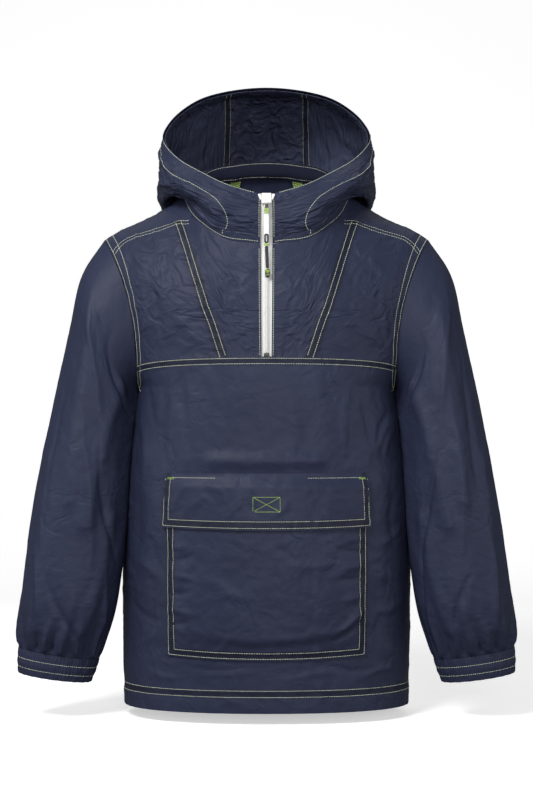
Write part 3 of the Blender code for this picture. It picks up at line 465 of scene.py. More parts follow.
# %% Body surface
def armhole_x(z):
    rise = np.clip((z - ARMPIT_Z) / (SHOULDER_TIP_Z - ARMPIT_Z), 0, 1)
    return ARMPIT_X + (SHOULDER_TIP_X - ARMPIT_X) * rise**ARMHOLE_FLARE


def armhole_reach(z):
    low = np.clip((BREAK_Z - z) / (BREAK_Z - ARMPIT_Z), 0, 1)
    return ARMHOLE_DEPTH * (1 - low**ARMHOLE_ROUND) ** (1 / ARMHOLE_ROUND)


def section(t):
    a, b, c, d = (1 - t) ** 3, 3 * t * (1 - t) ** 2, 3 * t**2 * (1 - t), t**3
    return SECTION_ROUND * b + c + d, a + b + SECTION_ROUND * c


SECTION_STEPS = np.linspace(1, 0, 200)


def body_row(side, z, facing):
    """x and y at side (0 in the middle, 1 at the edge) on one level; facing is -1 on the front, 1 on the back."""
    middle = np.where(facing < 0, smooth(z, TORSO["z"], TORSO["front"]), smooth(z, TORSO["z"], TORSO["back"]))
    depth = middle - SIDE_Y
    end = np.interp(armhole_reach(z) / np.abs(depth), section(SECTION_STEPS)[1], SECTION_STEPS)
    wide = np.where(z > ARMPIT_Z, armhole_x(z) / section(end)[0], smooth(z, TORSO["z"], TORSO["side"]))
    out, deep = section(side * (1 - (1 - end) * side))
    return wide * out, SIDE_Y + depth * deep


def body_shape(across, up):
    """A point of the body without its folds."""
    across, up = np.broadcast_arrays(np.asarray(across, float), np.asarray(up, float))
    side = np.abs(across)
    facing = np.where(up < 0, -1.0, 1.0)
    level = np.minimum(-np.abs(up), BREAK_Z)
    x, y = body_row(side, level, facing)
    over = np.clip(1 - np.abs(up) / -BREAK_Z, 0, 1) * math.pi / 2
    front_round, back_round = (middle + more * side**2 for middle, more in (FRONT_ROUND, BACK_ROUND))
    round_by = np.where(facing < 0, front_round, back_round)
    rise = np.sin(over) ** (2 / round_by)
    lean = np.maximum(np.cos(over), 0) ** (2 / round_by)
    tip_x = x * SHOULDER_TIP_X / armhole_x(BREAK_Z)
    ridge_z = smooth(tip_x, RIDGE["x"], RIDGE["z"])
    spread = armhole_x(BREAK_Z + rise * (SHOULDER_TIP_Z - BREAK_Z)) / armhole_x(BREAK_Z)
    ridge_y = SIDE_Y * side
    above = np.abs(up) < -BREAK_Z
    z = np.where(above, BREAK_Z + rise * (ridge_z - BREAK_Z), level)
    y = np.where(above, ridge_y + (y - ridge_y) * lean, y)
    x = np.where(above, x * spread, x)
    return np.stack([np.sign(across) * x, y, z], axis=-1)


def normals(surface, a, b, turn=1):
    """Unit normals of a surface of two numbers, by differences."""
    small = 1e-3
    along_a = surface(a + small, b) - surface(a - small, b)
    along_b = surface(a, b + small) - surface(a, b - small)
    normal = np.cross(along_a, along_b) * turn
    return normal / np.maximum(np.linalg.norm(normal, axis=-1, keepdims=True), 1e-12)


# %% [markdown]
# ## The body's creases
# On a filled-out garment the yokes carry short diagonal breaks, the lower front long upright ones that start at the
# chest seam, and the cloth above the hem small level ones. The back gets its own of the same kinds.

# %% Crease tables of the body
FRONT_CREASES = (  # x, z of both ends, bow, half width, height
    (-63, -63, -22, -80, 5, 5, -1.5),
    (-70, -84, -30, -92, -4, 6, 1.0),
    (-40, -100, -14, -78, 3, 4, -0.8),
    (20, -56, 64, -98, -5, 5, -1.5),
    (39, -52, 56, -68, 2, 4, -0.9),
    (26, -94, 52, -118, 4, 7, 1.0),
    (100, -48, 142, -82, -4, 6, 1.3),
    (92, -66, 112, -100, 3, 5, -0.9),
    (117, -110, 136, -146, -4, 5, -1.1),
    (-160, -50, -138, -76, 3, 6, 1.3),
    (-142, -70, -120, -120, -5, 8, 1.2),
    (-128, -96, -118, -166, 4, 6, -0.9),
    (-104, -120, -78, -160, 5, 10, 0.9),
    (84, -128, 96, -172, -3, 8, 0.9),
    (138, -90, 146, -170, 3, 6, 1.2),
    (-146, -100, -150, -172, -3, 6, 1.2),
    (-96, -192, -86, -298, 5, 7, -1.8),
    (-112, -200, -116, -286, -4, 9, 1.5),
    (-66, -196, -52, -238, 3, 7, 0.9),
    (-140, -208, -128, -262, 4, 6, -1.3),
    (-150, -240, -146, -330, -4, 7, 1.4),
    (22, -204, 30, -290, -6, 12, 0.9),
    (70, -196, 84, -244, 4, 6, -1.2),
    (98, -206, 92, -302, 5, 7, 1.5),
    (112, -230, 124, -300, -3, 5, -1.1),
    (143, -246, 129, -282, 2, 4, -2.4),
    (151, -262, 140, -300, 3, 5, 1.6),
    (106, -282, 84, -306, -3, 5, -1.0),
    (-30, -280, 40, -284, 4, 6, 0.8),
    (-134, -396, -122, -430, 3, 5, -1.0),
    (-156, -420, -124, -446, -4, 6, 1.2),
    (-160, -470, -128, -492, 4, 6, -1.1),
    (-150, -520, -126, -500, 3, 7, 1.2),
    (128, -400, 160, -380, 4, 6, 1.3),
    (130, -444, 158, -466, -4, 6, -1.2),
    (126, -480, 162, -470, 4, 7, 1.3),
    (130, -520, 164, -540, -3, 7, 1.2),
    (148, -320, 152, -420, 4, 6, -1.2),
    (-152, -340, -158, -440, -4, 7, -1.0),
    (-100, -542, -34, -547, 3, 3.5, -0.9),
    (-78, -553, 10, -551, -2, 3.5, 0.8),
    (-20, -544, 46, -548, 3, 3, -0.8),
    (24, -557, 90, -550, -3, 3.5, 0.9),
    (60, -541, 128, -549, 2, 3.5, -0.9),
    (-140, -549, -96, -558, 3, 5, 1.1),
    (110, -560, 152, -548, -3, 5, 1.2),
    (-60, -570, -20, -592, 3, 6, 0.6),
    (70, -574, 96, -594, -3, 6, 0.6),
)
BACK_CREASES = (
    (-80, -40, -40, -70, 5, 6, 1.3),
    (70, -36, 30, -74, -5, 6, 1.2),
    (-130, -80, -96, -150, -6, 8, 1.4),
    (128, -84, 104, -140, 6, 8, 1.3),
    (-20, -90, 10, -170, 5, 9, 0.9),
    (-148, -170, -112, -250, 6, 8, 1.5),
    (146, -180, 116, -240, -5, 8, 1.5),
    (-60, -210, -40, -330, -7, 10, 1.2),
    (34, -230, 54, -360, 6, 10, -1.1),
    (100, -300, 90, -420, 5, 9, 1.4),
    (-104, -330, -116, -440, -5, 9, -1.3),
    (-10, -390, -60, -480, 8, 10, 1.2),
    (20, -430, 70, -520, -6, 9, 1.1),
    (120, -460, 150, -540, 4, 8, 1.3),
    (-150, -480, -130, -560, 4, 8, -1.0),
    (-90, -548, -20, -556, 3, 4, 0.9),
    (10, -544, 84, -552, -3, 4, -0.9),
)


def body(across, up, out=0.0):
    """A point of the body cloth, moved out by out, with its folds, creases and crumple."""
    across, up = np.broadcast_arrays(np.asarray(across, float), np.asarray(up, float))
    inside = np.clip(across, -0.998, 0.998)
    point = body_shape(across, up)
    x, z = point[..., 0], point[..., 2]
    calm = eased((np.abs(x) - 6) / 14) * np.where(z < -586, 0.6, 1.0)
    front = folds(x, z, BODY_FOLDS) + calm * (creases(x, z, FRONT_CREASES) + 1.6 * crumple(x, z, 19, 27))
    back = folds(x, z, BACK_FOLDS) + creases(x, z, BACK_CREASES) + 1.6 * crumple(x + 300, z, 21, 30)
    height = np.where(up < 0, front, back)
    return point + normals(body_shape, inside, up) * (height + out)[..., None]


# %% [markdown]
# ## Seam lines
# Panels are cut from the body's surface by lines: neckline, shoulder, princess, chest and back seams. A patch fills
# the space between four of them, so neighbours share a line and nothing gapes.


# %% Lines and patches
def locate(x, z, facing=-1):
    """The across and up of the point of the body that shows at x, z from the front, or from behind."""
    across, up = x / 162, facing * max(-z, 30.0)
    for _ in range(60):
        now = body_shape(across, up)
        da = (body_shape(across + 1e-4, up) - now) / 1e-4
        db = (body_shape(across, up + 1e-2) - now) / 1e-2
        det = da[0] * db[2] - da[2] * db[0]
        ex, ez = x - now[0], z - now[2]
        across += 0.6 * np.clip((ex * db[2] - ez * db[0]) / det, -0.1, 0.1)
        up += 0.6 * np.clip((da[0] * ez - da[2] * ex) / det, -20, 20)
        up = min(max(up, -590), -0.5) if facing < 0 else max(min(up, 590), 0.5)
    return across, up


def seam_line(points):
    """A smooth line through across and up pairs, as a function of 0 to 1."""
    points = np.asarray(points, float)
    steps = np.hypot(*(np.diff(points, axis=0) * (160, 1)).T)
    keys = np.concatenate([[0], np.cumsum(steps)]) / steps.sum()
    return lambda t: smooth(np.asarray(t, float), keys, points)


def straight(a, b):
    a, b = np.asarray(a, float), np.asarray(b, float)
    return lambda t: a + (b - a) * np.asarray(t, float)[..., None]


def joined(first, second, split):
    """Two lines end to end: the first fills the way up to split."""

    def line(t):
        t = np.asarray(t, float)
        early = first(np.clip(t / split, 0, 1))
        late = second(np.clip((t - split) / (1 - split), 0, 1))
        return np.where((t < split)[..., None], early, late)

    return line


def between(low, high, left, right):
    """A patch of the surface's plane that fills four seam lines."""
    corners = [line(np.array(t)) for line, t in ((low, 0.0), (low, 1.0), (high, 0.0), (high, 1.0))]

    def patch(u, v):
        a, b = u[..., None], v[..., None]
        edges = (1 - b) * low(u) + b * high(u) + (1 - a) * left(v) + a * right(v)
        inner = (1 - a) * (1 - b) * corners[0] + a * (1 - b) * corners[1] + (1 - a) * b * corners[2]
        return edges - inner - a * b * corners[3]

    return patch


def shifted(line, across=0.0, up=0.0):
    return lambda t: line(t) + np.array([across, up])


def part_of(line, a, b):
    return lambda t: line(a + (b - a) * np.asarray(t, float))


# %% The seams, on the right side
def armhole_up(turn):
    """up of the armhole's edge at an angle from the underarm (0) over the front to the shoulder tip."""
    z = BREAK_Z - (BREAK_Z - ARMPIT_Z) * np.cos(turn)
    rise = np.clip((z - BREAK_Z) / (SHOULDER_TIP_Z - BREAK_Z), 0, 1)
    over = np.arcsin(rise ** (2.3 / 2))
    up = np.where(z > BREAK_Z, BREAK_Z * (1 - 2 * over / math.pi), z)
    return np.where(np.sin(turn) >= 0, up, -up)


NECK_POINTS = [locate(x, z, -1 if z < 20 else 1) for x, z in zip(NECKLINE["x"], NECKLINE["z"])]
SHOULDER_START, BACK_START = 0.79, 0.16  # stations where the shoulder and the back seam meet the neckline
ACROSS_GAP, UP_GAP, SHOULDER_GAP = 0.0004, 0.05, 0.15


def neck(station):
    return smooth(np.asarray(station, float), NECKLINE["station"], np.asarray(NECK_POINTS))


def chest_up(across):
    return CHEST_SEAM_Z - CHEST_SEAM_DROP * across**2


def chest_line(a, b, up):
    def line(t):
        across = a + (b - a) * np.asarray(t, float)
        return np.stack([across, chest_up(across) + up], axis=-1)

    return line


EDGE = 1 - ACROSS_GAP
SHOULDER_END = float(armhole_up(np.array(0.8 * math.pi)))
shoulder_line = seam_line(
    [neck(SHOULDER_START)]
    + [locate(x, z) for x, z in zip(SHOULDER_SEAM["x"], SHOULDER_SEAM["z"])]
    + [(EDGE, SHOULDER_END)]
)
PRINCESS_AT = 0.115  # of the shoulder seam, where the princess seam meets it
YOKE_SPLIT = 0.8  # of the middle yoke's upper edge, where the neckline passes into the shoulder seam
princess_points = [shoulder_line(PRINCESS_AT)]
princess_points += [locate(x, z) for x, z in zip(PRINCESS_SEAM["x"], PRINCESS_SEAM["z"])]
chest_princess = princess_points[-1][0]
princess_points[-1] = (chest_princess, chest_up(chest_princess))
princess_line = seam_line(princess_points[::-1])
back_line = seam_line(list(zip(BACK_SEAM["across"], BACK_SEAM["up"]))[::-1] + [neck(BACK_START)])
zip_across = float(neck(1.0)[0]) * ZIP_GAP / NECKLINE["x"][-1]
HEM_SEAM = BACK_SEAM["across"][-1]
BACK_SPLIT = 0.85  # of the side panel's height, where its inner edge leaves the back seam for the neckline
print("princess seam meets the chest seam at across", round(float(chest_princess), 3))

# %% Panels as patches
front_lower = between(
    straight((-EDGE, HEM_Z), (EDGE, HEM_Z)),
    chest_line(-EDGE, EDGE, -UP_GAP),
    straight((-EDGE, HEM_Z), (-EDGE, chest_up(1) - UP_GAP)),
    straight((EDGE, HEM_Z), (EDGE, chest_up(1) - UP_GAP)),
)
yoke_side = between(
    chest_line(chest_princess + ACROSS_GAP, EDGE, UP_GAP),
    shifted(part_of(shoulder_line, PRINCESS_AT, 1), 0, -SHOULDER_GAP),
    shifted(princess_line, ACROSS_GAP, 0),
    straight((EDGE, chest_up(1) + UP_GAP), (EDGE, SHOULDER_END - SHOULDER_GAP)),
)
yoke_centre = between(
    chest_line(zip_across, chest_princess - ACROSS_GAP, UP_GAP),
    shifted(
        joined(part_of(neck, 1, SHOULDER_START), part_of(shoulder_line, 0, PRINCESS_AT), YOKE_SPLIT), 0, -SHOULDER_GAP
    ),
    straight((zip_across, chest_up(0) + UP_GAP), neck(1.0) - (0, SHOULDER_GAP)),
    shifted(princess_line, -ACROSS_GAP, 0),
)


def back_neck(t):
    across, up = neck(BACK_START)
    return np.stack([across * (2 * t - 1), np.full(np.shape(t), up + SHOULDER_GAP)], axis=-1)


back_centre = between(
    straight((-HEM_SEAM, -HEM_Z), (HEM_SEAM, -HEM_Z)),
    back_neck,
    lambda t: back_line(t) * np.array([-1, 1]),
    back_line,
)


def back_inner_edge(v):
    """Up the back seam, then forward round the neckline to the shoulder seam."""
    seam = back_line(np.clip(v / BACK_SPLIT, 0, 1))
    station = BACK_START + (SHOULDER_START - BACK_START) * np.clip((v - BACK_SPLIT) / (1 - BACK_SPLIT), 0, 1)
    lift = SHOULDER_GAP * (station - BACK_START) / (SHOULDER_START - BACK_START)
    collar = neck(station) + np.stack([np.zeros(np.shape(v)), lift], axis=-1)
    return np.where((v < BACK_SPLIT)[..., None], seam, collar) + np.array([ACROSS_GAP, 0])


back_side = between(
    straight((HEM_SEAM + ACROSS_GAP, -HEM_Z), (EDGE, -HEM_Z)),
    shifted(shoulder_line, 0, SHOULDER_GAP),
    back_inner_edge,
    straight((EDGE, -HEM_Z), (EDGE, SHOULDER_END + SHOULDER_GAP)),
)


# %% [markdown]
# ## One way to lay a sheet
# A grid is added flat, and each of its points is set on the panel's surface. Its map keeps the flat grid's numbers,
# scaled to the panel's own width and length, so a weave keeps its size. Solidify turns the grid into a thin shell
# whose outer face stays where the surface is. The sheet then takes its solid's place, and its size and area are
# printed.


# %% Sheet
@contextmanager
def editing():
    """All of the object at hand, selected in edit mode."""
    bpy.ops.object.mode_set(mode="EDIT")
    bpy.ops.mesh.select_all(action="SELECT")
    yield
    bpy.ops.object.mode_set(mode="OBJECT")


def on_form(name, surface, columns, rows, looks, turn, closed, thick, inside, painted_seam_shade):
    """A shell of cloth on a surface of 0 to 1 by 0 to 1, with its width and length and its area."""
    deselect()
    bpy.ops.mesh.primitive_grid_add(x_subdivisions=columns, y_subdivisions=rows, size=1)
    piece = bpy.context.object
    piece.name = piece.data.name = name
    mesh = piece.data
    flat = np.empty(len(mesh.vertices) * 3)
    mesh.vertices.foreach_get("co", flat)
    u, v = np.clip(flat.reshape(-1, 3)[:, :2].T + 0.5, 0, 1)
    mesh.vertices.foreach_set("co", (surface(u, v) * MM).ravel())
    # The mask of the painted seam shade, which the nylon reads to darken its colour between the rows of stitches.
    if painted_seam_shade:
        layers = mesh.attributes.new("painted_seam_shade", "FLOAT", "POINT")
        layers.data.foreach_set("value", np.broadcast_to(painted_seam_shade(u, v), u.shape).astype(float))
    run, halfway = np.linspace(0, 1, 80), np.full(80, 0.5)
    middle = surface(run, halfway), surface(halfway, run)
    size = [float(np.linalg.norm(np.diff(line, axis=0), axis=1).sum()) * MM for line in middle]
    mesh.uv_layers[0].name = "cloth"
    spots = np.empty(len(mesh.loops) * 2)
    mesh.uv_layers[0].data.foreach_get("uv", spots)
    mesh.uv_layers[0].data.foreach_set("uv", (spots.reshape(-1, 2) * size).ravel())
    with editing():
        if turn < 0:
            bpy.ops.mesh.flip_normals()
        if closed:
            bpy.ops.mesh.remove_doubles(threshold=2e-4)
    area = sum(face.area for face in mesh.polygons)
    shell = piece.modifiers.new("wall", "SOLIDIFY")
    shell.thickness, shell.offset = thick * MM, -1
    mesh.materials.append(looks)
    if inside:
        mesh.materials.append(inside)
        shell.material_offset = 1
    bpy.ops.object.modifier_apply(modifier=shell.name)
    bpy.ops.object.shade_smooth_by_angle(angle=math.radians(50))
    print(f"{name}: {size[0]:.3f} x {size[1]:.3f} m, {area:.4f} m2, {len(mesh.polygons)} faces")
    return piece, size, area


def lay(node, surface, columns, rows, looks, turn=1, slot="navy_cloth", held="draped", closed=False, thick=NYLON,
        inside=None, painted_seam_shade=None):
    """Lays a solid's sheet in its place; turn -1 where the grid's faces would point inwards."""
    piece, size, area = on_form(f"{node}_cloth", surface, columns, rows, looks, turn, closed, thick, inside, painted_seam_shade)
    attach(piece, "root")
    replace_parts(piece, node)


STEP = 3.1  # millimetres from point to point on the cloth


def steps(length):
    return max(int(round(length / STEP)), 2)


# %% [markdown]
# ## Body panels
# At each seam the allowances are turned under one panel and held by two rows of stitches, so a band beside the seam
# stands a little proud and puckers between the stitches. The relief is worked out from the distance to the seam.


# %% Seam relief
PUCKER = 0.38  # the height of the cloth's waves between the stitches
FRONT_WIDE, YOKE_WIDE, ARMHOLE_WIDE = 165, 150, 185  # millimetres to one of across: lower front, yokes, armhole's edge
SLANT = princess_line(np.linspace(0, 1, 40))


def felled(distance, along, high=0.55, wide=8.5):
    """The band beside a seam at a distance, all in millimetres."""
    band = eased(1.6 - distance / wide * 1.25) * high
    waves = np.sin(along / 1.9 + 3 * wander(along / 9, along / 31))
    pucker = PUCKER * waves * np.exp(-(((distance - 4.5) / 5.5) ** 2))
    return band + pucker * (0.4 + 1.2 * wander(along / 13 + 5, along / 57))


def from_princess(across, up):
    """Millimetres from the princess seam."""
    return np.abs(np.interp(up, SLANT[:, 1], SLANT[:, 0]) - np.abs(across)) * YOKE_WIDE


def lower_relief(across, up):
    x = across * FRONT_WIDE
    hem = felled(np.abs(up - HEM_Z - 8.5), x, 0.35, 8.5)
    return felled(chest_up(across) - up, x) + hem


def yoke_relief(across, up):
    return felled(from_princess(across, up), up, 0.5, 4.6)


def flat_relief(across, up):
    return np.zeros(np.broadcast(across, up).shape)


def strip(distance, near, far):
    """1 between two rows of stitches at their distances from a seam, where the cloth takes painted shade for its
    puckers.
    """
    return eased(distance - near + 1) * eased(far + 1 - distance)


def front_bands(across, up):
    return strip(chest_up(across) - up, *CHEST_ROWS) + strip(up - HEM_Z, *HEM_ROWS)


def yoke_bands(across, up):
    armhole_band = strip((1 - np.abs(across)) * ARMHOLE_WIDE, *ARMHOLE_ROWS)
    return np.maximum(strip(from_princess(across, up), -1, PRINCESS_ROW), armhole_band)


def on_plane(patch, bands):
    return lambda u, v: bands(*np.moveaxis(patch(u, v), -1, 0))


def on_body(patch, relief=flat_relief, sign=1):
    def surface(u, v):
        place = patch(u, v)
        across, up = place[..., 0] * sign, place[..., 1]
        return body(across, up, CLOTH + relief(across, up))

    return surface


# %% Front and back panels
lay("front_lower", on_body(front_lower, lower_relief), steps(400), steps(420), navy,
    painted_seam_shade=on_plane(front_lower, front_bands))
lay("back_centre", on_body(back_centre), steps(170), steps(660), navy, turn=-1)
for side, sign in SIDES:
    for yoke, patch, width in (("yoke_centre", yoke_centre, 70), ("yoke_side", yoke_side, 110)):
        lay(f"{yoke}_{side}", on_body(patch, yoke_relief, sign), steps(width), steps(170), navy_creased, turn=sign,
            painted_seam_shade=on_plane(patch, yoke_bands))
    lay(f"back_side_{side}", on_body(back_side, sign=sign), steps(200), steps(660), navy, turn=-sign)

# %% [markdown]
# ## Sleeves and cuffs
# Each sleeve is one piece with its seam under the arm. It widens below the elbow and is gathered into an elastic
# cuff, so its last hand's breadth breaks into folds of uneven length. The long folds above them run slantwise.

# %% Sleeve tables
SLEEVE = {
    "inner_x": (159.3, 161, 164.3, 168.6, 172, 175.1, 184, 196, 202.5),
    "inner_z": (-225, -240, -262, -310, -370, -440, -488, -522, -541),
    "outer_x": (223.5, 239, 254, 268.5, 281.5, 292, 298, 299.5, 299),
    "outer_z": (-73, -140, -212, -290, -365, -437, -486, -511, -526.5),
    "mid_y": (5, -2, -11, -21, -25, -27, -27, -26, -25),
    "depth": (60, 61, 59, 57, 56, 56, 53, 45, 36),
}
CUFF_END = (212.5, -569, 299.5, -557, -25, 33)  # the cuff's lower ring, in the sleeve table's order
SLEEVE_ROWS = list(zip(*SLEEVE.values()))
SLEEVE_MIDS = np.array(
    [((ARMPIT_X + SHOULDER_TIP_X) / 2, (ARMPIT_Z + SHOULDER_TIP_Z) / 2)]
    + [((row[0] + row[2]) / 2, (row[1] + row[3]) / 2) for row in SLEEVE_ROWS]
)
SLEEVE_ALONG = np.concatenate([[0], np.cumsum(np.hypot(*np.diff(SLEEVE_MIDS, axis=0).T))])
SLEEVE_LENGTH = SLEEVE_ALONG[-1]
SLEEVE_ALONG = SLEEVE_ALONG / SLEEVE_LENGTH
ARMHOLE_AXIS = np.array([0.972, 0, -0.235])
SLEEVE_QUARTER = 85.0
GATHERS, GATHER_DEPTH, GATHER_FADE = 20, 2.4, 38.0
CUFF_RIBS, CUFF_RIB = 64, 0.8
INNER_FOLD = (0.10, 12.0, 4.4)  # a soft fold along the body: quarter turns, half width, height
LEFT_SLEEVE_CREASES = (  # quarter turns from the underarm seam forward, part of the length, twice; bow, width, height
    (1.00, 0.04, 0.22, 0.24, 6, 8, -2.2),
    (1.45, 0.06, 0.80, 0.30, -5, 9, 1.8),
    (0.78, 0.38, 0.30, 0.73, 6, 7, -2.6),
    (1.05, 0.34, 0.72, 0.76, -6, 9, 1.8),
    (1.50, 0.24, 1.42, 0.66, 5, 9, -1.6),
    (1.28, 0.78, 0.68, 0.955, 6, 5, -2.4),
    (1.62, 0.66, 1.30, 0.93, -4, 6, 1.7),
    (0.50, 0.74, 0.28, 0.95, 3, 5, 1.6),
    (1.80, 0.30, 1.86, 0.80, 5, 8, 1.3),
)
RIGHT_SLEEVE_CREASES = (
    (0.95, 0.05, 0.25, 0.22, 5, 7, -2.0),
    (1.50, 0.08, 0.90, 0.34, -6, 9, 1.8),
    (0.86, 0.40, 0.40, 0.75, -6, 7, -2.8),
    (1.12, 0.30, 0.98, 0.72, 6, 9, 1.9),
    (1.52, 0.20, 1.35, 0.58, -5, 8, -1.5),
    (1.10, 0.76, 0.74, 0.945, -5, 5, -2.6),
    (1.42, 0.62, 1.30, 0.94, 5, 6, 1.8),
    (0.42, 0.70, 0.24, 0.94, 3, 5, -1.5),
    (1.82, 0.36, 1.78, 0.84, -5, 8, 1.4),
)
HIDDEN_SLEEVE_CREASES = (  # on the back of the arm
    (2.30, 0.10, 2.75, 0.34, 6, 9, 1.8),
    (3.50, 0.10, 2.95, 0.30, -6, 8, -1.8),
    (2.20, 0.40, 2.42, 0.80, 5, 9, -1.6),
    (2.90, 0.36, 2.80, 0.72, -5, 8, 1.9),
    (3.30, 0.48, 3.52, 0.86, 5, 8, -1.7),
    (2.60, 0.78, 2.70, 0.95, 3, 5, 1.8),
    (3.10, 0.74, 3.02, 0.95, -3, 5, -1.9),
)
GATHER_FOLDS = (  # quarter turns, length up the sleeve, half width, height
    (0.10, 60, 3.6, 2.2), (0.26, 34, 2.8, -1.8), (0.40, 82, 3.8, 2.6), (0.55, 46, 3.0, -2.0), (0.68, 70, 3.4, 2.4),
    (0.80, 38, 2.8, -2.0), (0.93, 96, 4.0, 2.8), (1.08, 52, 3.0, -2.2), (1.20, 64, 3.4, 2.2), (1.33, 36, 2.8, -1.8),
    (1.46, 88, 3.8, 2.6), (1.60, 48, 3.0, -2.0), (1.74, 58, 3.4, 2.2), (1.90, 40, 3.0, -1.8), (2.06, 76, 3.8, 2.4),
    (2.24, 44, 3.0, -2.0), (2.38, 66, 3.4, 2.2), (2.55, 92, 3.8, 2.6), (2.70, 42, 3.0, -2.0), (2.86, 60, 3.4, 2.2),
    (3.02, 84, 3.8, 2.4), (3.18, 40, 3.0, -1.8), (3.34, 70, 3.4, 2.4), (3.50, 50, 3.0, -2.0), (3.68, 64, 3.4, 2.2),
    (3.86, 44, 3.0, -1.8),
)


# %% Sleeve surface
def armhole(turn):
    """The sleeve's first section: the armhole's edge, from the underarm (0) over the front."""
    up = armhole_up(turn)
    inside = np.full(np.shape(turn), 0.998)
    return body_shape(1.0, up) + normals(body_shape, inside, up) * CLOTH + ARMHOLE_AXIS * SEAM


def ring(turn, inner_x, inner_z, outer_x, outer_z, mid_y, depth):
    """A section of a sleeve: an ellipse through its inner and outer points."""
    inner, outer = np.array((inner_x, inner_z)), np.array((outer_x, outer_z))
    mid = (inner + outer) / 2
    half = inner - mid
    cos, sin = np.cos(turn), np.sin(turn)
    return np.stack([mid[0] + half[0] * cos, mid_y - depth * sin, mid[1] + half[1] * cos], axis=-1)


def sleeve_shape(quarter, along):
    quarter, along = np.broadcast_arrays(np.asarray(quarter, float), np.asarray(along, float))
    turn = quarter.ravel() * math.pi / 2
    rings = [armhole(turn)] + [ring(turn, *row) for row in SLEEVE_ROWS]
    return own_smooth(along.ravel(), SLEEVE_ALONG, np.stack(rings)).reshape(quarter.shape + (3,))


def in_millimetres(table, wide, long):
    return [(a * wide, b * long, c * wide, d * long, *rest) for a, b, c, d, *rest in table]


def gathers(quarter, up_from_cuff):
    """The folds above the cuff: uneven ones on a regular row of small ones."""
    height = np.zeros(np.shape(quarter))
    for at, length, width, high in GATHER_FOLDS:
        apart = (np.abs(quarter - at + 2) % 4 - 2) * SLEEVE_QUARTER + 0.12 * up_from_cuff * math.sin(at * 7)
        spread = 0.75 * width * (1 + up_from_cuff / 60)
        height = height + high * np.exp(-((apart / spread) ** 2)) * eased(1.15 - up_from_cuff / length)
    return height


def inner_fold(quarter, along):
    at, width, high = INNER_FOLD
    apart = ((quarter + 2) % 4 - 2 - at) * SLEEVE_QUARTER
    return high * np.exp(-((apart / width) ** 2)) * eased(along * 14) * eased((0.8 - along) * 5)


def sleeve_height(quarter, along, table):
    up_from_cuff = (1 - along) * SLEEVE_LENGTH
    x, y = quarter * SLEEVE_QUARTER, along * SLEEVE_LENGTH
    large = folds(x, y, in_millimetres(SLEEVE_FOLDS, SLEEVE_QUARTER, SLEEVE_LENGTH))
    fine = creases(x, y, in_millimetres(table, SLEEVE_QUARTER, SLEEVE_LENGTH))
    wrap = eased(quarter / 0.12) * eased((4 - quarter) / 0.12)
    fine = (fine + crumple(x + 500, y, 15, 40)) * wrap
    deep = np.exp(-up_from_cuff / GATHER_FADE) * GATHER_DEPTH
    deep = np.where(up_from_cuff < 6, CUFF_RIB + (deep - CUFF_RIB) * up_from_cuff / 6, deep)
    drawn = 0.45 * deep * np.cos(GATHERS * quarter * math.pi / 2)
    rows = (large * np.clip(along * 12, 0, 1) + fine * eased(along * 9)) * np.clip(up_from_cuff / 30, 0, 1)
    rows = rows + inner_fold(quarter, along)
    return rows + drawn + 1.5 * gathers(quarter, up_from_cuff) * eased(up_from_cuff / 7)


def sleeve(sign, u, v, out=0.0):
    """A sleeve's outer face: u goes round from the underarm seam, v from the armhole to the cuff."""
    quarter, along = 4 * u, 0.999 * v
    table = (LEFT_SLEEVE_CREASES if sign < 0 else RIGHT_SLEEVE_CREASES) + HIDDEN_SLEEVE_CREASES
    height = sleeve_height(quarter, along, table) + out
    normal = normals(sleeve_shape, quarter, np.clip(along, 0.002, 0.998), -1)
    return (sleeve_shape(quarter, along) + normal * height[..., None]) * np.array([sign, 1, 1])


# %% Cuff surface
def cuff_shape(quarter, v):
    turn = quarter * math.pi / 2
    top, low = ring(turn, *SLEEVE_ROWS[-1]), ring(turn, *CUFF_END)
    return top + (low - top) * v[..., None]


def cuff(sign, u, v, out=0.0):
    quarter = 4 * u
    ribs = CUFF_RIB * np.cos(GATHERS * quarter * math.pi / 2) * 0.5
    uneven = 0.6 + 0.8 * wander(quarter * 9, v * 2 + 60)
    ribs = ribs + 0.45 * uneven * np.cos(CUFF_RIBS * quarter * math.pi / 2 + 1.5 * wander(quarter * 5, v * 3))
    drawn = 0.5 * sum(np.exp(-(((v - row) / 0.09) ** 2)) for row in CUFF_ROWS)  # under the rows of stitches
    height = ribs * (1 - 0.5 * drawn) + 1.2 * np.sin(v * math.pi) - drawn + out
    normal = normals(cuff_shape, quarter, v, -1)
    return (cuff_shape(quarter, v) + normal * height[..., None]) * np.array([sign, 1, 1])


# %% Make sleeves and cuffs
for side, sign in SIDES:
    for node, surface, columns, rows in (("sleeve", sleeve, 150, steps(450)), ("cuff", cuff, 256, 12)):
        lay(f"{node}_{side}", partial(surface, sign), columns, rows, navy, turn=-sign, held="gathered", closed=True)

# %% [markdown]
# ## Hood
# The hood is worn down: from the neckline it rises over a crest, slumps behind and comes up again to its rim, and
# each side panel ends in half of the collar. A profile is given at each station round the neck, from the middle of
# the back to the zip.

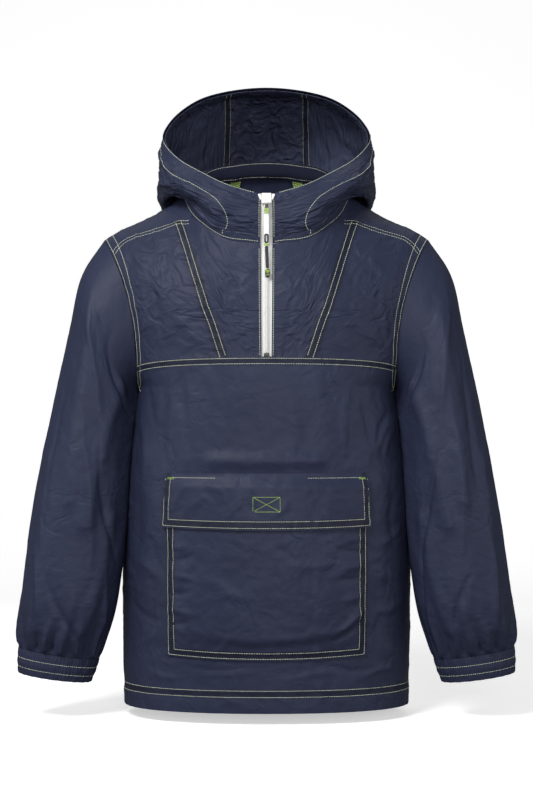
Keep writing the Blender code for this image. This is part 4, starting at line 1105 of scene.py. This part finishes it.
# %% Hood tables
HOOD_ALONG = (0, 0.031, 0.169, 0.33, 0.54, 0.832, 1)
HOOD = {
    "station": (0, 0.16, 0.35, 0.50, 0.62, 0.74, 0.84, 0.92, 1.0),
    "crest": (
        (0, 75, 70), (45, 74, 66), (75, 63, 57), (92, 36, 44), (101, 13, 37), (97, -33, 18), (79.5, -61, -10.5),
        (52.5, -77, -30), (7, -81, -38.5),
    ),
    "tuck": (
        (0, 101, 22), (47, 98, 21), (84, 84, 21), (106, 50, 24), (112, 10, 32), (103, -34, 21), (81, -60, -3.5),
        (54, -78.5, -25), (7, -82, -34),
    ),
    "low": (
        (0, 129, -40), (48, 126, -37), (98, 102, -21), (125, 56, 4), (125, 5, 14), (111, -36, 17), (86, -60, 7),
        (56, -80.5, -17), (7, -83, -27),
    ),
    "far": (
        (0, 174, 36), (51, 168, 36), (117, 122, 36), (131, 60, 38), (129, 0, 40), (118, -40, 28), (97, -68, 20),
        (58, -84, -2), (7, -84, -13),
    ),
    "crown": (
        (0, 118, 149), (48, 112, 146), (103, 88, 123), (126, 37, 93), (126.5, 0, 70), (115, -38, 47), (94, -68, 33),
        (54, -83, 15), (7, -83.5, 4),
    ),
    "rim": (
        (0, 50, 158.5), (47, 46, 153.5), (90, 33, 137.5), (117, 14, 112), (125, -2, 89), (106, -30, 62), (79, -58, 43),
        (47, -77, 26), (7, -82, 14),
    ),
}
FACING = {"station": (0, 0.62, 0.84, 0.90, 0.94, 0.96, 1.0), "along": (0.93, 0.82, 0.72, 0.55, 0.2, 0.03, 0.03)}
HOOD_CREASES = (  # station, part of the profile, twice; bow, half width, height
    (0.02, 0.70, 0.14, 0.86, 5, 7, -2.4),
    (0.06, 0.80, 0.20, 0.66, -5, 7, 2.2),
    (0.24, 0.90, 0.34, 0.70, 6, 8, -2.4),
    (0.30, 0.62, 0.46, 0.72, -5, 7, 2.4),
    (0.20, 0.50, 0.30, 0.60, 4, 6, -2.0),
    (0.40, 0.86, 0.56, 0.92, 4, 6, 2.0),
    (0.44, 0.60, 0.60, 0.64, 4, 6, -2.2),
    (0.50, 0.48, 0.66, 0.40, 4, 6, 1.8),
    (0.62, 0.62, 0.74, 0.76, -4, 6, -1.8),
    (0.66, 0.50, 0.80, 0.58, 4, 6, 1.8),
    (0.84, 0.30, 0.88, 0.66, 4, 5, 1.6),
    (0.88, 0.18, 0.91, 0.56, -3, 4, -1.5),
    (0.93, 0.16, 0.95, 0.74, 3, 5, 1.2),
    (0.78, 0.30, 0.80, 0.52, 3, 5, -1.5),
)
HOOD_LIFT = 0.6
HOOD_STATIONS = np.concatenate([[-HOOD["station"][1]], HOOD["station"]])
HOOD_ROUND, HOOD_DEEP = 330.0, 200.0  # millimetres to the whole of station and of the profile


# %% Hood surface
def from_behind(rows):
    """A column of the table with its second row mirrored in front, so that the back's middle is smooth."""
    rows = np.array(rows, float)
    return np.concatenate([rows[1:2] * (-1, 1, 1), rows])


hood_rows = [from_behind(rows) for name, rows in HOOD.items() if name != "station"]


def sided(station, point):
    """A point of the right half, put on the station's side."""
    sign = np.where(np.asarray(station) < 0, -1.0, 1.0)
    return point * np.stack([sign, np.ones_like(sign), np.ones_like(sign)], axis=-1)


def hood_shape(station, along):
    station, along = np.broadcast_arrays(np.asarray(station, float), np.asarray(along, float))
    flat = np.abs(station).ravel()
    foot = neck(flat)
    columns = [body_shape(foot[:, 0], foot[:, 1]) + (0, 0, HOOD_LIFT)]
    columns += [smooth(flat, HOOD_STATIONS, rows) for rows in hood_rows]
    point = own_smooth(along.ravel(), HOOD_ALONG, np.stack(columns)).reshape(station.shape + (3,))
    return sided(station, point)


def hood(station, along, out=0.0):
    station, along = np.broadcast_arrays(np.asarray(station, float), np.asarray(along, float))
    side = np.abs(station)
    x, y = side * HOOD_ROUND, along * HOOD_DEEP
    height = folds(x, y, in_millimetres(HOOD_FOLDS, HOOD_ROUND, HOOD_DEEP)) * np.clip(along * 10, 0, 1)
    fine = 0.7 * creases(x + 9 * (station < 0), y, in_millimetres(HOOD_CREASES, HOOD_ROUND, HOOD_DEEP))
    fine = fine + 2.2 * crumple(station * HOOD_ROUND + 900, y * 1.4, 19, 24)
    height = height + fine * eased(along * 7) * eased((1 - along) * 9) * eased((1 - side) * 18)
    normal = normals(hood_shape, np.clip(side, 0.002, 0.998), np.clip(along, 0.002, 0.998), -1)
    return hood_shape(station, along) + sided(station, normal) * (height + out)[..., None]


# %% Hood panels
GUSSET_WIDE = 300  # millimetres to the whole of station, beside the hood's middle panel


def hood_panel(a, b, sign=1):
    return lambda u, v: hood((a + (b - a) * u) * sign, v, CLOTH)


def gusset_bands(a, b):
    return lambda u, v: strip(np.abs(np.abs(a + (b - a) * u) - BACK_START - 0.0015) * GUSSET_WIDE, -1, 2.6)


# The hood's inner face takes the nylon painted lighter, as painted light inside the hood.
hood_looks = {"looks": navy_creased, "inside": navy_inside_painted_light}
lay("hood_centre", hood_panel(-BACK_START, BACK_START), 48, 120, turn=-1,
    painted_seam_shade=gusset_bands(-BACK_START, BACK_START), **hood_looks)
for side, sign in SIDES:
    lay(f"hood_side_{side}", hood_panel(BACK_START, 1, sign), 112, 120, turn=-sign,
        painted_seam_shade=gusset_bands(BACK_START, 1), **hood_looks)


# %% Facing, neck tape and overlocked edges
FACING_END, FACING_TOP = 0.97, 0.992
UNDER_HOOD, UNDER_NECK, UNDER_BACK = -4 * SEAM, -6 * SEAM, -2 * SEAM  # how far inside the form each lies
TAPE_THICK, TAPE_END, TAPE_DROP, TAPE_RISE = 0.7, 0.53, 5.0, 0.027
TAPE_ROWS = (0, 0.4, 0.6, 1)
ALLOWANCE, ALLOWANCE_THICK = 0.040, 0.9
ALLOWANCE_FOOT, ALLOWANCE_RUN = 0.03, 0.965  # parts of the back seam


def facing(u, v):
    station = (2 * u - 1) * FACING_END
    start = smooth(np.abs(station), FACING["station"], FACING["along"])
    return hood(station, start + (FACING_TOP - start) * v, UNDER_HOOD)


def neck_tape(u, v):
    """Half below the neck seam, on the body's inside, and half above it on the hood's."""
    station = (2 * u - 1) * TAPE_END
    place = neck(np.abs(station))
    across = place[..., 0] * np.where(station < 0, -1.0, 1.0)
    rows = [body(across, place[..., 1] + drop, UNDER_NECK) for drop in (TAPE_DROP, 0.5)]
    rows += [hood(station, np.full(station.shape, rise), UNDER_NECK) for rise in (0.006, TAPE_RISE)]
    return own_smooth(v, TAPE_ROWS, np.stack(rows))


def allowance(sign, u, v):
    place = back_line(ALLOWANCE_FOOT + ALLOWANCE_RUN * v)
    across = place[..., 0] - 0.001 - ALLOWANCE * (1 - u)
    return body(across * sign, place[..., 1], UNDER_BACK)


lay("hood_facing", facing, 220, 16, navy_inside_painted_light, turn=-1, slot="navy_cloth_inside")
lay("neck_tape", neck_tape, 80, 8, neck_tape_look, turn=-1, slot="navy_cloth_inside", thick=TAPE_THICK)
for side, sign in SIDES:
    lay(f"seam_allowance_{side}", partial(allowance, sign), 4, 160, overlock, turn=-sign, slot="green_overlock",
        thick=ALLOWANCE_THICK)

# %% [markdown]
# ## Pocket and flap
# The pocket is a big patch that stands away from the front, fullest below its middle. Its flap is sewn above it and
# hangs over its mouth. Their edges are turned in, stitched twice, and pucker.


# %% Pocket surface
def across_at(x, up):
    """The across of a point of the front at x, below the armhole's widest level."""
    across = x / FRONT_WIDE
    for _ in range(20):
        across = across + (x - body_shape(across, up)[..., 0]) / 175
    return across


def pocket_bulge(x, z):
    side = np.clip(1 - (x / POCKET_HALF) ** 2, 0, 1) ** 0.45
    rise = np.clip((z - POCKET_Z[0]) / POCKET_TALL, 0, 1)
    return POCKET_BULGE * side * smooth(rise, *POCKET_FULL)


POCKET_TALL, FLAP_TALL = POCKET_Z[1] - POCKET_Z[0], FLAP_Z[1] - FLAP_Z[0]
POCKET_FULL = ((0, 0.12, 0.35, 0.7, 1), (0, 0.72, 1, 0.85, 0.66))  # parts of its height, and how full it is there
FLAP_SLANT = 2.5  # how much narrower each side of the flap is at its top
POCKET_CREASES = (  # x, z of both ends, bow, half width, height
    (-92, -500, 96, -496, 12, 11, 1.3),
    (-80, -512, 80, -510, 8, 8, -0.8),
    (82, -500, 112, -472, 3, 5, 2.6),
    (76, -512, 108, -488, 3, 5, -2.0),
    (10, -402, 40, -426, -4, 5, -1.3),
    (26, -420, 78, -420, 4, 6, 1.2),
    (-60, -440, -10, -462, 5, 10, 1.0),
    (-112, -398, -92, -402, 2, 5, 1.3), (-112, -418, -84, -412, 2, 5, -1.4), (-112, -436, -82, -440, -2, 5, 1.6),
    (-112, -456, -86, -452, 2, 5, -1.4), (-112, -474, -80, -480, 2, 6, 1.6), (-112, -492, -88, -490, 2, 5, -1.4),
    (112, -392, 88, -396, 2, 5, 1.4), (112, -408, 80, -402, -2, 5, -1.6), (112, -424, 84, -430, 2, 6, 1.6),
    (112, -442, 78, -440, 2, 5, -1.5), (112, -458, 84, -464, -2, 6, 1.6), (112, -484, 90, -484, 2, 5, 1.1),
    (-60, -526, -44, -512, 2, 4, 0.9), (0, -530, 8, -516, 2, 4, 0.9), (52, -527, 60, -514, 2, 4, 0.9),
)
FLAP_CREASES = (
    (-92, -330, -108, -362, 4, 5, 1.1),
    (-30, -336, -46, -368, -4, 6, 1.2),
    (-24, -342, -6, -366, 3, 5, -0.9),
    (6, -364, 26, -344, 3, 5, 1.0),
    (52, -334, 68, -366, 4, 6, -1.1),
    (86, -340, 104, -368, -4, 6, 1.0),
    (-70, -324, 60, -322, 3, 4, -1.0),
)


def turned_edge(x, z, side, foot):
    """The relief of the turned-in edges, at a distance from the sides and from the foot."""
    return felled(side, z, 0.4, 8) * (side < 20) + felled(foot, x, 0.4, 8) * (foot < 20)


def pocket(u, v, out=0.0):
    x = (2 * u - 1) * POCKET_HALF
    z = POCKET_Z[0] + POCKET_TALL * v - 4 * (1 - (2 * u - 1) ** 2) * (1 - v)
    side, foot = POCKET_HALF - np.abs(x), z - POCKET_Z[0]
    fine = creases(x, z, POCKET_CREASES) + 1.1 * crumple(x + 700, z, 18, 18)
    fine = fine * eased(side / 7) * eased(foot / 7)
    edge = turned_edge(x, z, side, foot)
    return body(across_at(x, z), z, 2 * CLOTH + SEAM + pocket_bulge(x, z) + fine + edge * 0.8 + out)


def flap(u, v, out=0.0):
    x = (2 * u - 1) * (FLAP_HALF - FLAP_SLANT * v)
    z = FLAP_Z[0] + FLAP_TALL * v - 2 * (1 - (2 * u - 1) ** 2) * (1 - v)
    off = eased((FLAP_Z[1] - z) / 17)
    side, foot = FLAP_HALF - FLAP_SLANT * v - np.abs(x), z - FLAP_Z[0]
    fine = creases(x, z, FLAP_CREASES) + 0.8 * crumple(x + 60, z, 20, 16)
    edge = turned_edge(x, z, side, foot)
    lift = off * (pocket_bulge(x, z) + CLOTH + 2 * SEAM)
    return body(across_at(x, z), z, 2 * CLOTH + 3 * SEAM + lift + fine * eased(side / 7) * off + edge * 0.7 + out)


def pocket_bands(u, v):
    side, foot = POCKET_HALF * (1 - np.abs(2 * u - 1)), POCKET_TALL * v
    (near, _), (far, _) = POCKET_ROWS
    return strip(np.minimum(side, foot), near, far)


def flap_bands(u, v):
    side, foot = FLAP_HALF * (1 - np.abs(2 * u - 1)), FLAP_TALL * v
    side_rows, foot_rows = zip(*FLAP_ROWS)
    return np.maximum(strip(side, *side_rows) * (foot > 2), strip(foot, *foot_rows) * (side > 2))


lay("pocket", pocket, steps(250), steps(210), navy, painted_seam_shade=pocket_bands)
lay("pocket_flap", flap, steps(250), steps(80), navy, painted_seam_shade=flap_bands)

# %% [markdown]
# ## Zip tapes and chain
# The two tapes lie behind the cloth's edges, and the chain closes the gap between them. They follow the curve of the
# cloth beside them, from the chest seam up into the collar.

# %% Zip surface
ZIP_TAPE = (0.1, 14.5, CHEST_SEAM_Z + 0.6, 13.5)  # its inner and outer x, its foot and top
ZIP_TAPE_BACK, ZIP_TAPE_THICK = 1.3, 0.8
zip_levels = np.linspace(CHEST_SEAM_Z, NECKLINE["z"][-1] - 1, 12)
zip_points = [body_shape(*locate(ZIP_GAP, z)) for z in zip_levels]
zip_points += list(hood_shape(np.full(6, 1.0), np.array([0.03, 0.2, 0.4, 0.6, 0.8, 1.0])))
ZIP_KEYS = [point[2] for point in zip_points]
ZIP_Y = [point[1] for point in zip_points]


def zip_y(z):
    """The y of the cloth's inner face beside the zip."""
    return smooth(z, ZIP_KEYS, ZIP_Y)


def zip_tape(sign, u, v):
    x0, x1, z0, z1 = ZIP_TAPE
    z = z0 + (z1 - z0) * v
    x = x0 + (x1 - x0) * u
    return np.stack([x, zip_y(z) + ZIP_TAPE_BACK + x * x / 230, z], axis=-1) * np.array([sign, 1, 1])


for side, sign in SIDES:
    lay(f"zip_tape_{side}", partial(zip_tape, sign), 6, 60, tape_look, turn=sign, slot="white_zip",
        thick=ZIP_TAPE_THICK)

# %% [markdown]
# ## Stitches
# Every seam on this garment is held by one or two rows of thick pale green thread, which is its one ornament. A stitch
# is a short thread whose ends dive into the cloth. One is modelled from a small ball; then it is copied along the
# rows, each copy turned to the seam's direction and set on the cloth as it really lies there, with its creases.

# %% One stitch
deselect()
bpy.ops.mesh.primitive_uv_sphere_add(segments=6, ring_count=4, radius=0.5)
seed = bpy.context.object
with editing():
    bpy.ops.transform.rotate(value=math.pi / 2, orient_axis="Y", center_override=(0, 0, 0))
STITCH = np.array([vert.co for vert in seed.data.vertices])
STITCH[:, 0] = np.sign(STITCH[:, 0]) * np.abs(2 * STITCH[:, 0]) ** 0.7 / 2  # fuller ends
STITCH[:, 2] -= 1.1 * STITCH[:, 0] ** 2  # the ends dive
STITCH_FACES = [tuple(face.vertices) for face in seed.data.polygons]
bpy.data.objects.remove(seed)
print("one stitch:", len(STITCH), "points,", len(STITCH_FACES), "faces")

# %% Rows of stitches
THREAD = (2.4, 0.78, 0.55)  # a stitch's length, width and height
PITCH = 2.9
THREAD_LIFT = 0.12  # of a stitch's middle above the cloth
jitter = np.random.default_rng(11)


def beside(line, away, surface=body_shape, fine=(1e-3, 0.05)):
    """A line moved sideways on its surface by away millimetres, and to its other side where that is below zero."""

    def moved(t):
        t = np.asarray(t, float)
        spot = line(t)
        ahead = line(np.clip(t + 0.004, 0, 1)) - line(np.clip(t - 0.004, 0, 1))
        a, b = spot[..., 0], spot[..., 1]
        by_a = (surface(a + fine[0], b) - surface(a - fine[0], b)) / (2 * fine[0])
        by_b = (surface(a, b + fine[1]) - surface(a, b - fine[1])) / (2 * fine[1])
        run = by_a * ahead[..., :1] + by_b * ahead[..., 1:]
        side = np.cross(np.cross(by_a, by_b), run)
        side = side / np.linalg.norm(side, axis=-1, keepdims=True) * away
        aa, ab, bb = (by_a * by_a).sum(-1), (by_a * by_b).sum(-1), (by_b * by_b).sum(-1)
        sa, sb = (side * by_a).sum(-1), (side * by_b).sum(-1)
        scale = aa * bb - ab * ab
        return spot + np.stack([(sa * bb - sb * ab) / scale, (sb * aa - sa * ab) / scale], axis=-1)

    return moved


def set_stitches(surface, line, face=1, thick=1.0, pitch=PITCH):
    """The points of all stitches of one row; face -1 sews on the cloth's inner face."""
    t = np.linspace(0, 1, 500)
    spot = line(t)
    lift = THREAD_LIFT if face > 0 else -NYLON - THREAD_LIFT
    path = surface(spot[:, 0], spot[:, 1], lift)
    away = surface(spot[:, 0], spot[:, 1], lift + face) - path
    far = np.concatenate([[0], np.cumsum(np.linalg.norm(np.diff(path, axis=0), axis=1))])
    count = max(int(far[-1] / pitch), 1)
    at = (np.arange(count) + 0.5) * far[-1] / count
    here, out, before, after = [
        np.stack([np.interp(where, far, part[:, k]) for k in range(3)], axis=-1)
        for where, part in ((at, path), (at, away), (at - 1, path), (at + 1, path))
    ]
    along = after - before + 0.1 * jitter.normal(size=here.shape)
    along /= np.linalg.norm(along, axis=-1, keepdims=True)
    aside = np.cross(out, along)
    aside /= np.linalg.norm(aside, axis=-1, keepdims=True)
    out = np.cross(along, aside)
    size = np.array(THREAD) * (1, thick, thick)
    long = pitch / PITCH * (1 + 0.07 * jitter.normal(size=(count, 1, 1)))
    shape = STITCH * size
    return (
        here[:, None] + shape[:, 0, None] * along[:, None] * long
        + shape[:, 1, None] * aside[:, None] + shape[:, 2, None] * out[:, None]
    )


def joined_copies(name, copies, faces, look, orders=None):
    """One piece that rides with the garment, of all copies of a small solid; order -1 turns a copy's faces over."""
    size = len(copies[0])
    every = [
        tuple(corner + number * size for corner in face[::order])
        for number, order in enumerate(orders or [1] * len(copies)) for face in faces
    ]
    mesh = bpy.data.meshes.new(name)
    mesh.from_pydata(np.reshape(copies, (-1, 3)) * MM, [], every)
    mesh.materials.append(look)
    piece = bpy.data.objects.new(name, mesh)
    bpy.context.scene.collection.objects.link(piece)
    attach(piece, "root")
    return piece


def sew(name, rows, look=thread, **settings):
    points = np.concatenate([set_stitches(*row, **settings) for row in rows])
    joined_copies(name, points, STITCH_FACES, look).data.shade_smooth()
    print(f"{name}: {len(points)} stitches")


def panel_face(relief=flat_relief, sign=1):
    return lambda across, up, out: body(across * sign, up, CLOTH + relief(across * sign, up) + out)


# %% Sew the body
def round_armhole(t):
    turn = (0.03 + 0.94 * np.asarray(t, float)) * 2 * math.pi
    return np.stack([np.full(np.shape(t), 1.0), armhole_up(turn)], axis=-1)


front_face = panel_face(lower_relief)
rows = [(front_face, beside(chest_line(-0.985, 0.985, 0), -away)) for away in CHEST_ROWS]
rows += [(front_face, straight((-0.995, HEM_Z + away), (0.995, HEM_Z + away))) for away in HEM_ROWS]
sew("stitches_front", rows)
for side, sign in SIDES:
    face, bare = panel_face(yoke_relief, sign), panel_face(sign=sign)
    rows = [(face, beside(part_of(princess_line, 0.005, 0.985), away)) for away in (-PRINCESS_ROW, PRINCESS_ROW)]
    rows += [(face, beside(part_of(shoulder_line, 0.03, 0.97), -away)) for away in SHOULDER_ROWS]
    beside_zip = zip_across * 1.3
    rows += [(face, straight((beside_zip, chest_up(0) + 1.5), (beside_zip, float(neck(1.0)[1]) - 2)))]
    sew(f"stitches_yoke_{side}", rows)
    sew(f"stitches_armhole_{side}", [(bare, beside(round_armhole, away)) for away in ARMHOLE_ROWS])
    rows = [(bare, beside(back_line, away)) for away in BACK_ROWS]
    rows += [(bare, straight((0.0, -HEM_Z - away), (0.995, -HEM_Z - away))) for away in HEM_ROWS]
    sew(f"stitches_back_{side}", rows)

# %% [markdown]
# The hood's seams show from both sides of the cloth, so they are sewn on both faces. The facing is caught down by one
# row, which runs below the rim and turns down beside the zip. Cuffs have two rows through the elastic.

# %% Sew the hood, the cuffs and the tape
FACING_ROW = {
    "station": (0.0, 0.30, 0.50, 0.654, 0.74, 0.828, 0.875, 0.904, 0.922, 0.936, 0.939, 0.933, 0.921),
    "along": (0.90, 0.885, 0.85, 0.818, 0.80, 0.785, 0.775, 0.735, 0.655, 0.505, 0.36, 0.20, 0.02),
}
NECK_ROW, ZIP_ROW = 0.012, 0.9972  # along the neck seam, and beside the zip
GUSSET_ROWS = (BACK_START - 0.009, BACK_START + 0.012)
SEAM_FOOT, UNDER_FACING, SEAM_TOP = 0.05, 0.93, 0.985  # parts of the profile


def hood_face(sign, base=CLOTH):
    return lambda station, along, out: hood(station * sign, along, base + out)


def facing_row(t):
    at = np.asarray(t, float) * (len(FACING_ROW["station"]) - 1)
    keys = np.arange(len(FACING_ROW["station"]))
    return np.stack([smooth(at, keys, FACING_ROW["station"]), smooth(at, keys, FACING_ROW["along"])], axis=-1)


def gusset_lines(foot, top):
    return [straight((at, foot), (at, top)) for at in GUSSET_ROWS]


for side, sign in SIDES:
    face, under = hood_face(sign), hood_face(sign, UNDER_HOOD)
    rows = [(face, line) for line in gusset_lines(SEAM_FOOT, SEAM_TOP)]
    rows += [(face, facing_row), (face, straight((0.0, FACING_TOP), (0.985, FACING_TOP)))]
    rows += [(face, straight((0.08, NECK_ROW), (0.996, NECK_ROW)))]
    rows += [(face, straight((ZIP_ROW, 0.04), (ZIP_ROW, SEAM_TOP)))]
    sew(f"stitches_hood_{side}", rows)
    rows = [(face, line, -1) for line in gusset_lines(SEAM_FOOT, UNDER_FACING)]
    rows += [(under, line, -1) for line in gusset_lines(UNDER_FACING, SEAM_TOP)]
    sew(f"stitches_inside_hood_{side}", rows)
    sew(f"stitches_cuff_{side}", [(partial(cuff, sign), straight((0, v), (1, v))) for v in CUFF_ROWS], pitch=2.5)

tape_face = lambda u, v, out: neck_tape(u, v) - np.array([0, 1, 0]) * (np.asarray(out) + TAPE_THICK)
sew("stitches_tape", [(tape_face, straight((0.03, v), (0.97, v))) for v in (0.14, 0.88)], thick=0.9)


# %% Sew the pocket and the flap
def patch_rows(patch, half, tall, distances, top):
    """Rows of stitches up both sides and along the foot of a patch, at their distances from the sides and the foot."""
    rows = []
    for from_side, from_foot in distances:
        u, v = from_side / (2 * half), from_foot / tall
        lines = ((u, v), (u, top)), ((1 - u, v), (1 - u, top)), ((u, v), (1 - u, v))
        rows += [(patch, straight(*ends)) for ends in lines]
    return rows


FLAP_SEAM = 0.915  # the row that holds the flap's top, which stops short of the fold in its middle
sew("stitches_pocket", patch_rows(pocket, POCKET_HALF, POCKET_TALL, POCKET_ROWS, 0.8))
rows = patch_rows(flap, FLAP_HALF, FLAP_TALL, FLAP_ROWS, 0.9)
rows += [(flap, straight((a, FLAP_SEAM), (b, FLAP_SEAM))) for a, b in ((0.035, 0.25), (0.70, 0.965))]
sew("stitches_flap", rows)

# %% [markdown]
# Brighter, denser stitches mark the points that take strain: a bar at each upper corner of the flap, and a crossed
# box in its middle, as sewing that holds a hidden fastening.


# %% Bars and the crossed box
def flap_line(a, b):
    """A straight line on the flap between two points in millimetres from its middle and its lower edge."""
    return straight(*((0.5 + x / (2 * FLAP_HALF), z / FLAP_TALL) for x, z in (a, b)))


half, foot, top = 15.5, 21.0, 37.5  # of the box
corners = [(-half, foot), (half, foot), (half, top), (-half, top)]
rows = [(flap, flap_line(a, b)) for a, b in zip(corners, corners[1:] + corners[:1])]
rows += [(flap, flap_line(corners[0], corners[2])), (flap, flap_line(corners[1], corners[3]))]
sew("stitches_box", rows, look=bright_thread, pitch=2.0, thick=0.95)
BAR, BAR_LEVELS = (116.5, 108.5), (56.8, 57.6, 58.4)
rows = [
    (flap, flap_line(*((sign * x, level) for x in BAR))) for side, sign in SIDES for level in BAR_LEVELS
]
sew("stitches_bars", rows, look=bright_thread, pitch=1.6)

# %% [markdown]
# ## Zip teeth
# Moulded teeth sit on the two tapes in turn and hook over the middle. One tooth is a bevelled block with a wider
# head; it is copied down the chain to the stop.

# %% One tooth
deselect()
bpy.ops.mesh.primitive_cube_add(size=1)
seed = bpy.context.object
seed.scale = (3.7, 1.6, 0.82)  # across the chain, through it and along it
bpy.ops.object.transform_apply(location=False, rotation=False, scale=True)
with editing():
    bpy.ops.mesh.subdivide(number_cuts=1)
for vert in seed.data.vertices:
    if vert.co.x > 1:
        vert.co.z *= 1.35  # the head
    if abs(vert.co.x) < 1:
        vert.co.z *= 0.75  # the waist
edges = seed.modifiers.new("edges", "BEVEL")
edges.width, edges.segments, edges.limit_method = 0.16, 1, "ANGLE"
deselect()
seed.select_set(True)
bpy.context.view_layer.objects.active = seed
bpy.ops.object.modifier_apply(modifier="edges")
TOOTH = np.array([vert.co for vert in seed.data.vertices])
TOOTH_FACES = [tuple(face.vertices) for face in seed.data.polygons]
bpy.data.objects.remove(seed)

# %% The chain
TOOTH_PITCH, TOOTH_ASIDE, CHAIN_FORWARD = 1.46, 0.95, 0.55
levels = np.arange(CHEST_SEAM_Z + 6.2, 1.6, TOOTH_PITCH)
orders = [1 if number % 2 else -1 for number in range(len(levels))]
copies = [
    TOOTH * (order, 1, 1) + np.array([-TOOTH_ASIDE * order, float(zip_y(level)) - CHAIN_FORWARD, level])
    for order, level in zip(orders, levels)
]
teeth = joined_copies("zip_teeth", copies, TOOTH_FACES, white_plastic, orders)
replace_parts(teeth, "zip_chain")
print("teeth:", len(levels), "x", len(TOOTH_FACES), "faces")

# %% [markdown]
# ## The puller
# A soft puller hangs from the tab: a loop of dark cord through the tab's eye, whipped with green thread where its two
# ends meet, then a flat braid that runs into a knotted end. It is light and worn, so it hangs a little askew. Each
# piece is made round its own middle and moved to its place on the pull, and swings with it.


# %% Small solid pieces
def shaped(primitive, shape, **settings):
    """A ready-made solid, each of whose points is moved by shape, which gives millimetres."""
    deselect()
    primitive(**settings)
    for vert in bpy.context.object.data.vertices:
        vert.co = [part * MM for part in shape(*vert.co)]


def settle(name, look, middle, body="zip_pull"):
    """Moves the object at hand to its place in its mesh, and lets it ride."""
    piece = bpy.context.object
    piece.name = piece.data.name = name
    with editing():
        bpy.ops.transform.translate(value=[part * MM for part in middle])
    bpy.ops.object.shade_smooth_by_angle(angle=math.radians(50))
    piece.data.materials.append(look)
    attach(piece, body)
    return piece


def rings(name, middle, half, levels, thick, lean=0.08):
    """Turns of green thread round a middle, one above the other and each a little askew, joined into one piece."""
    turns = []
    for level in levels:
        deselect()
        bpy.ops.mesh.primitive_torus_add(
            major_radius=half[0] * MM, minor_radius=thick * MM, major_segments=24, minor_segments=8
        )
        turns.append(bpy.context.object)
        with editing():
            bpy.ops.transform.resize(value=(1, half[1] / half[0], 1), center_override=(0, 0, 0))
            bpy.ops.transform.rotate(value=lean * jitter.normal(), orient_axis="Y", center_override=(0, 0, 0))
            bpy.ops.transform.translate(value=(0, 0, level * MM))
    for turn in turns:
        turn.select_set(True)
    bpy.ops.object.join()
    return settle(name, bright_thread, middle)


# %% Loop and whipping
PULL_Y = -92.7
LOOP_STRETCH = 3.1  # how far the loop's two ends are drawn out
deselect()
bpy.ops.mesh.primitive_torus_add(
    major_radius=1.75 * MM, minor_radius=0.95 * MM, major_segments=32, minor_segments=12,
    rotation=(math.pi / 2, 0, 0),
)
bpy.ops.object.transform_apply(location=False, rotation=True, scale=False)
for vert in bpy.context.object.data.vertices:
    vert.co.z += math.copysign(LOOP_STRETCH * MM, vert.co.z) if abs(vert.co.z) > 0.2 * MM else vert.co.z * 15
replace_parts(settle("puller_loop_cord", webbing, (0.0, PULL_Y, -39.0)), "puller_loop")
whip = rings("puller_whip_thread", (0.05, PULL_Y, -46.3), (2.6, 0.95), (-0.9, -0.3, 0.3, 0.9), 0.36)
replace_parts(whip, "puller_whip")

# %% Braid and knot
BRAID, KNOT = (1.9, 0.8, 13.3), (3.0, 1.5, 5.2)  # half sizes
BRAID_LEAN = 1.2  # how far its foot hangs to one side
KNOT_MIDDLE = (BRAID_LEAN + 0.1, PULL_Y - 0.1, -79.9)


def braid(x, y, z):
    level = 1 - 2 * math.acos(max(-1.0, min(1.0, z))) / math.pi  # even steps from foot to top
    round_end = min(1.0, (1 - abs(level)) * 12) ** 0.5
    radius = max(math.hypot(x, y), 1e-6)
    x, y = x / radius, y / radius
    strand = round_end * (1 + 0.09 * math.cos(34 * level + 3 * math.pi * abs(x)))
    lean = BRAID_LEAN * (0.5 - 0.5 * level)
    return x * BRAID[0] * strand + lean, y * BRAID[1] * strand, level * BRAID[2]


def knot(*point):
    """A ball with fuller corners."""
    return [math.copysign(abs(part) ** 0.75, part) * half for part, half in zip(point, KNOT)]


shaped(bpy.ops.mesh.primitive_uv_sphere_add, braid, segments=24, ring_count=64, radius=1)
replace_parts(settle("puller_braid", webbing, (0.0, PULL_Y, -61.0)), "puller_strap")
shaped(bpy.ops.mesh.primitive_uv_sphere_add, knot, segments=28, ring_count=20, radius=1)
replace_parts(settle("puller_knot", webbing, KNOT_MIDDLE), "puller_end")
rings("puller_knot_thread", KNOT_MIDDLE, (3.05, 1.5), (3.6, 2.7, 1.9, 0.3, -2.2), 0.34, 0.3)
rings("tab_whip_thread", (0.1, -90.6, -6.2), (3.0, 2.2), (-3.0, -2.1, -1.2, -0.2, 0.8, 1.8, 2.6), 0.36, 0.22)

# %% The tab's window and the tapes' folded ends
shaped(bpy.ops.mesh.primitive_cube_add, lambda x, y, z: (x * 4.2, y * 0.8, z * 4.6), size=1)
settle("tab_window", black_plastic, (0.3, -92.75, -0.7))


def tape_end(x, y, z):
    """Narrower at its foot."""
    return x * 3.4 * (0.55 if z < 0 else 1), y * 0.9, z * 7.0


for side, sign in SIDES:
    shaped(bpy.ops.mesh.primitive_cube_add, tape_end, size=1)
    with editing():
        bpy.ops.mesh.bevel(offset=0.35 * MM, segments=2)
        bpy.ops.transform.rotate(value=-0.3 * sign, orient_axis="Y", center_override=(0, 0, 0))
    settle(f"tape_end_{side}", white_plastic, (7.6 * sign, -85.9, 10.6), body="root")

# %% Finishes of the solids that stay
CARRIED = {"zip_slider": white_plastic, "zip_stop": black_plastic, "pull_tab": white_plastic}
for node, look in CARRIED.items():
    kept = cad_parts[node]
    kept.data.materials.clear()
    kept.data.materials.append(look)
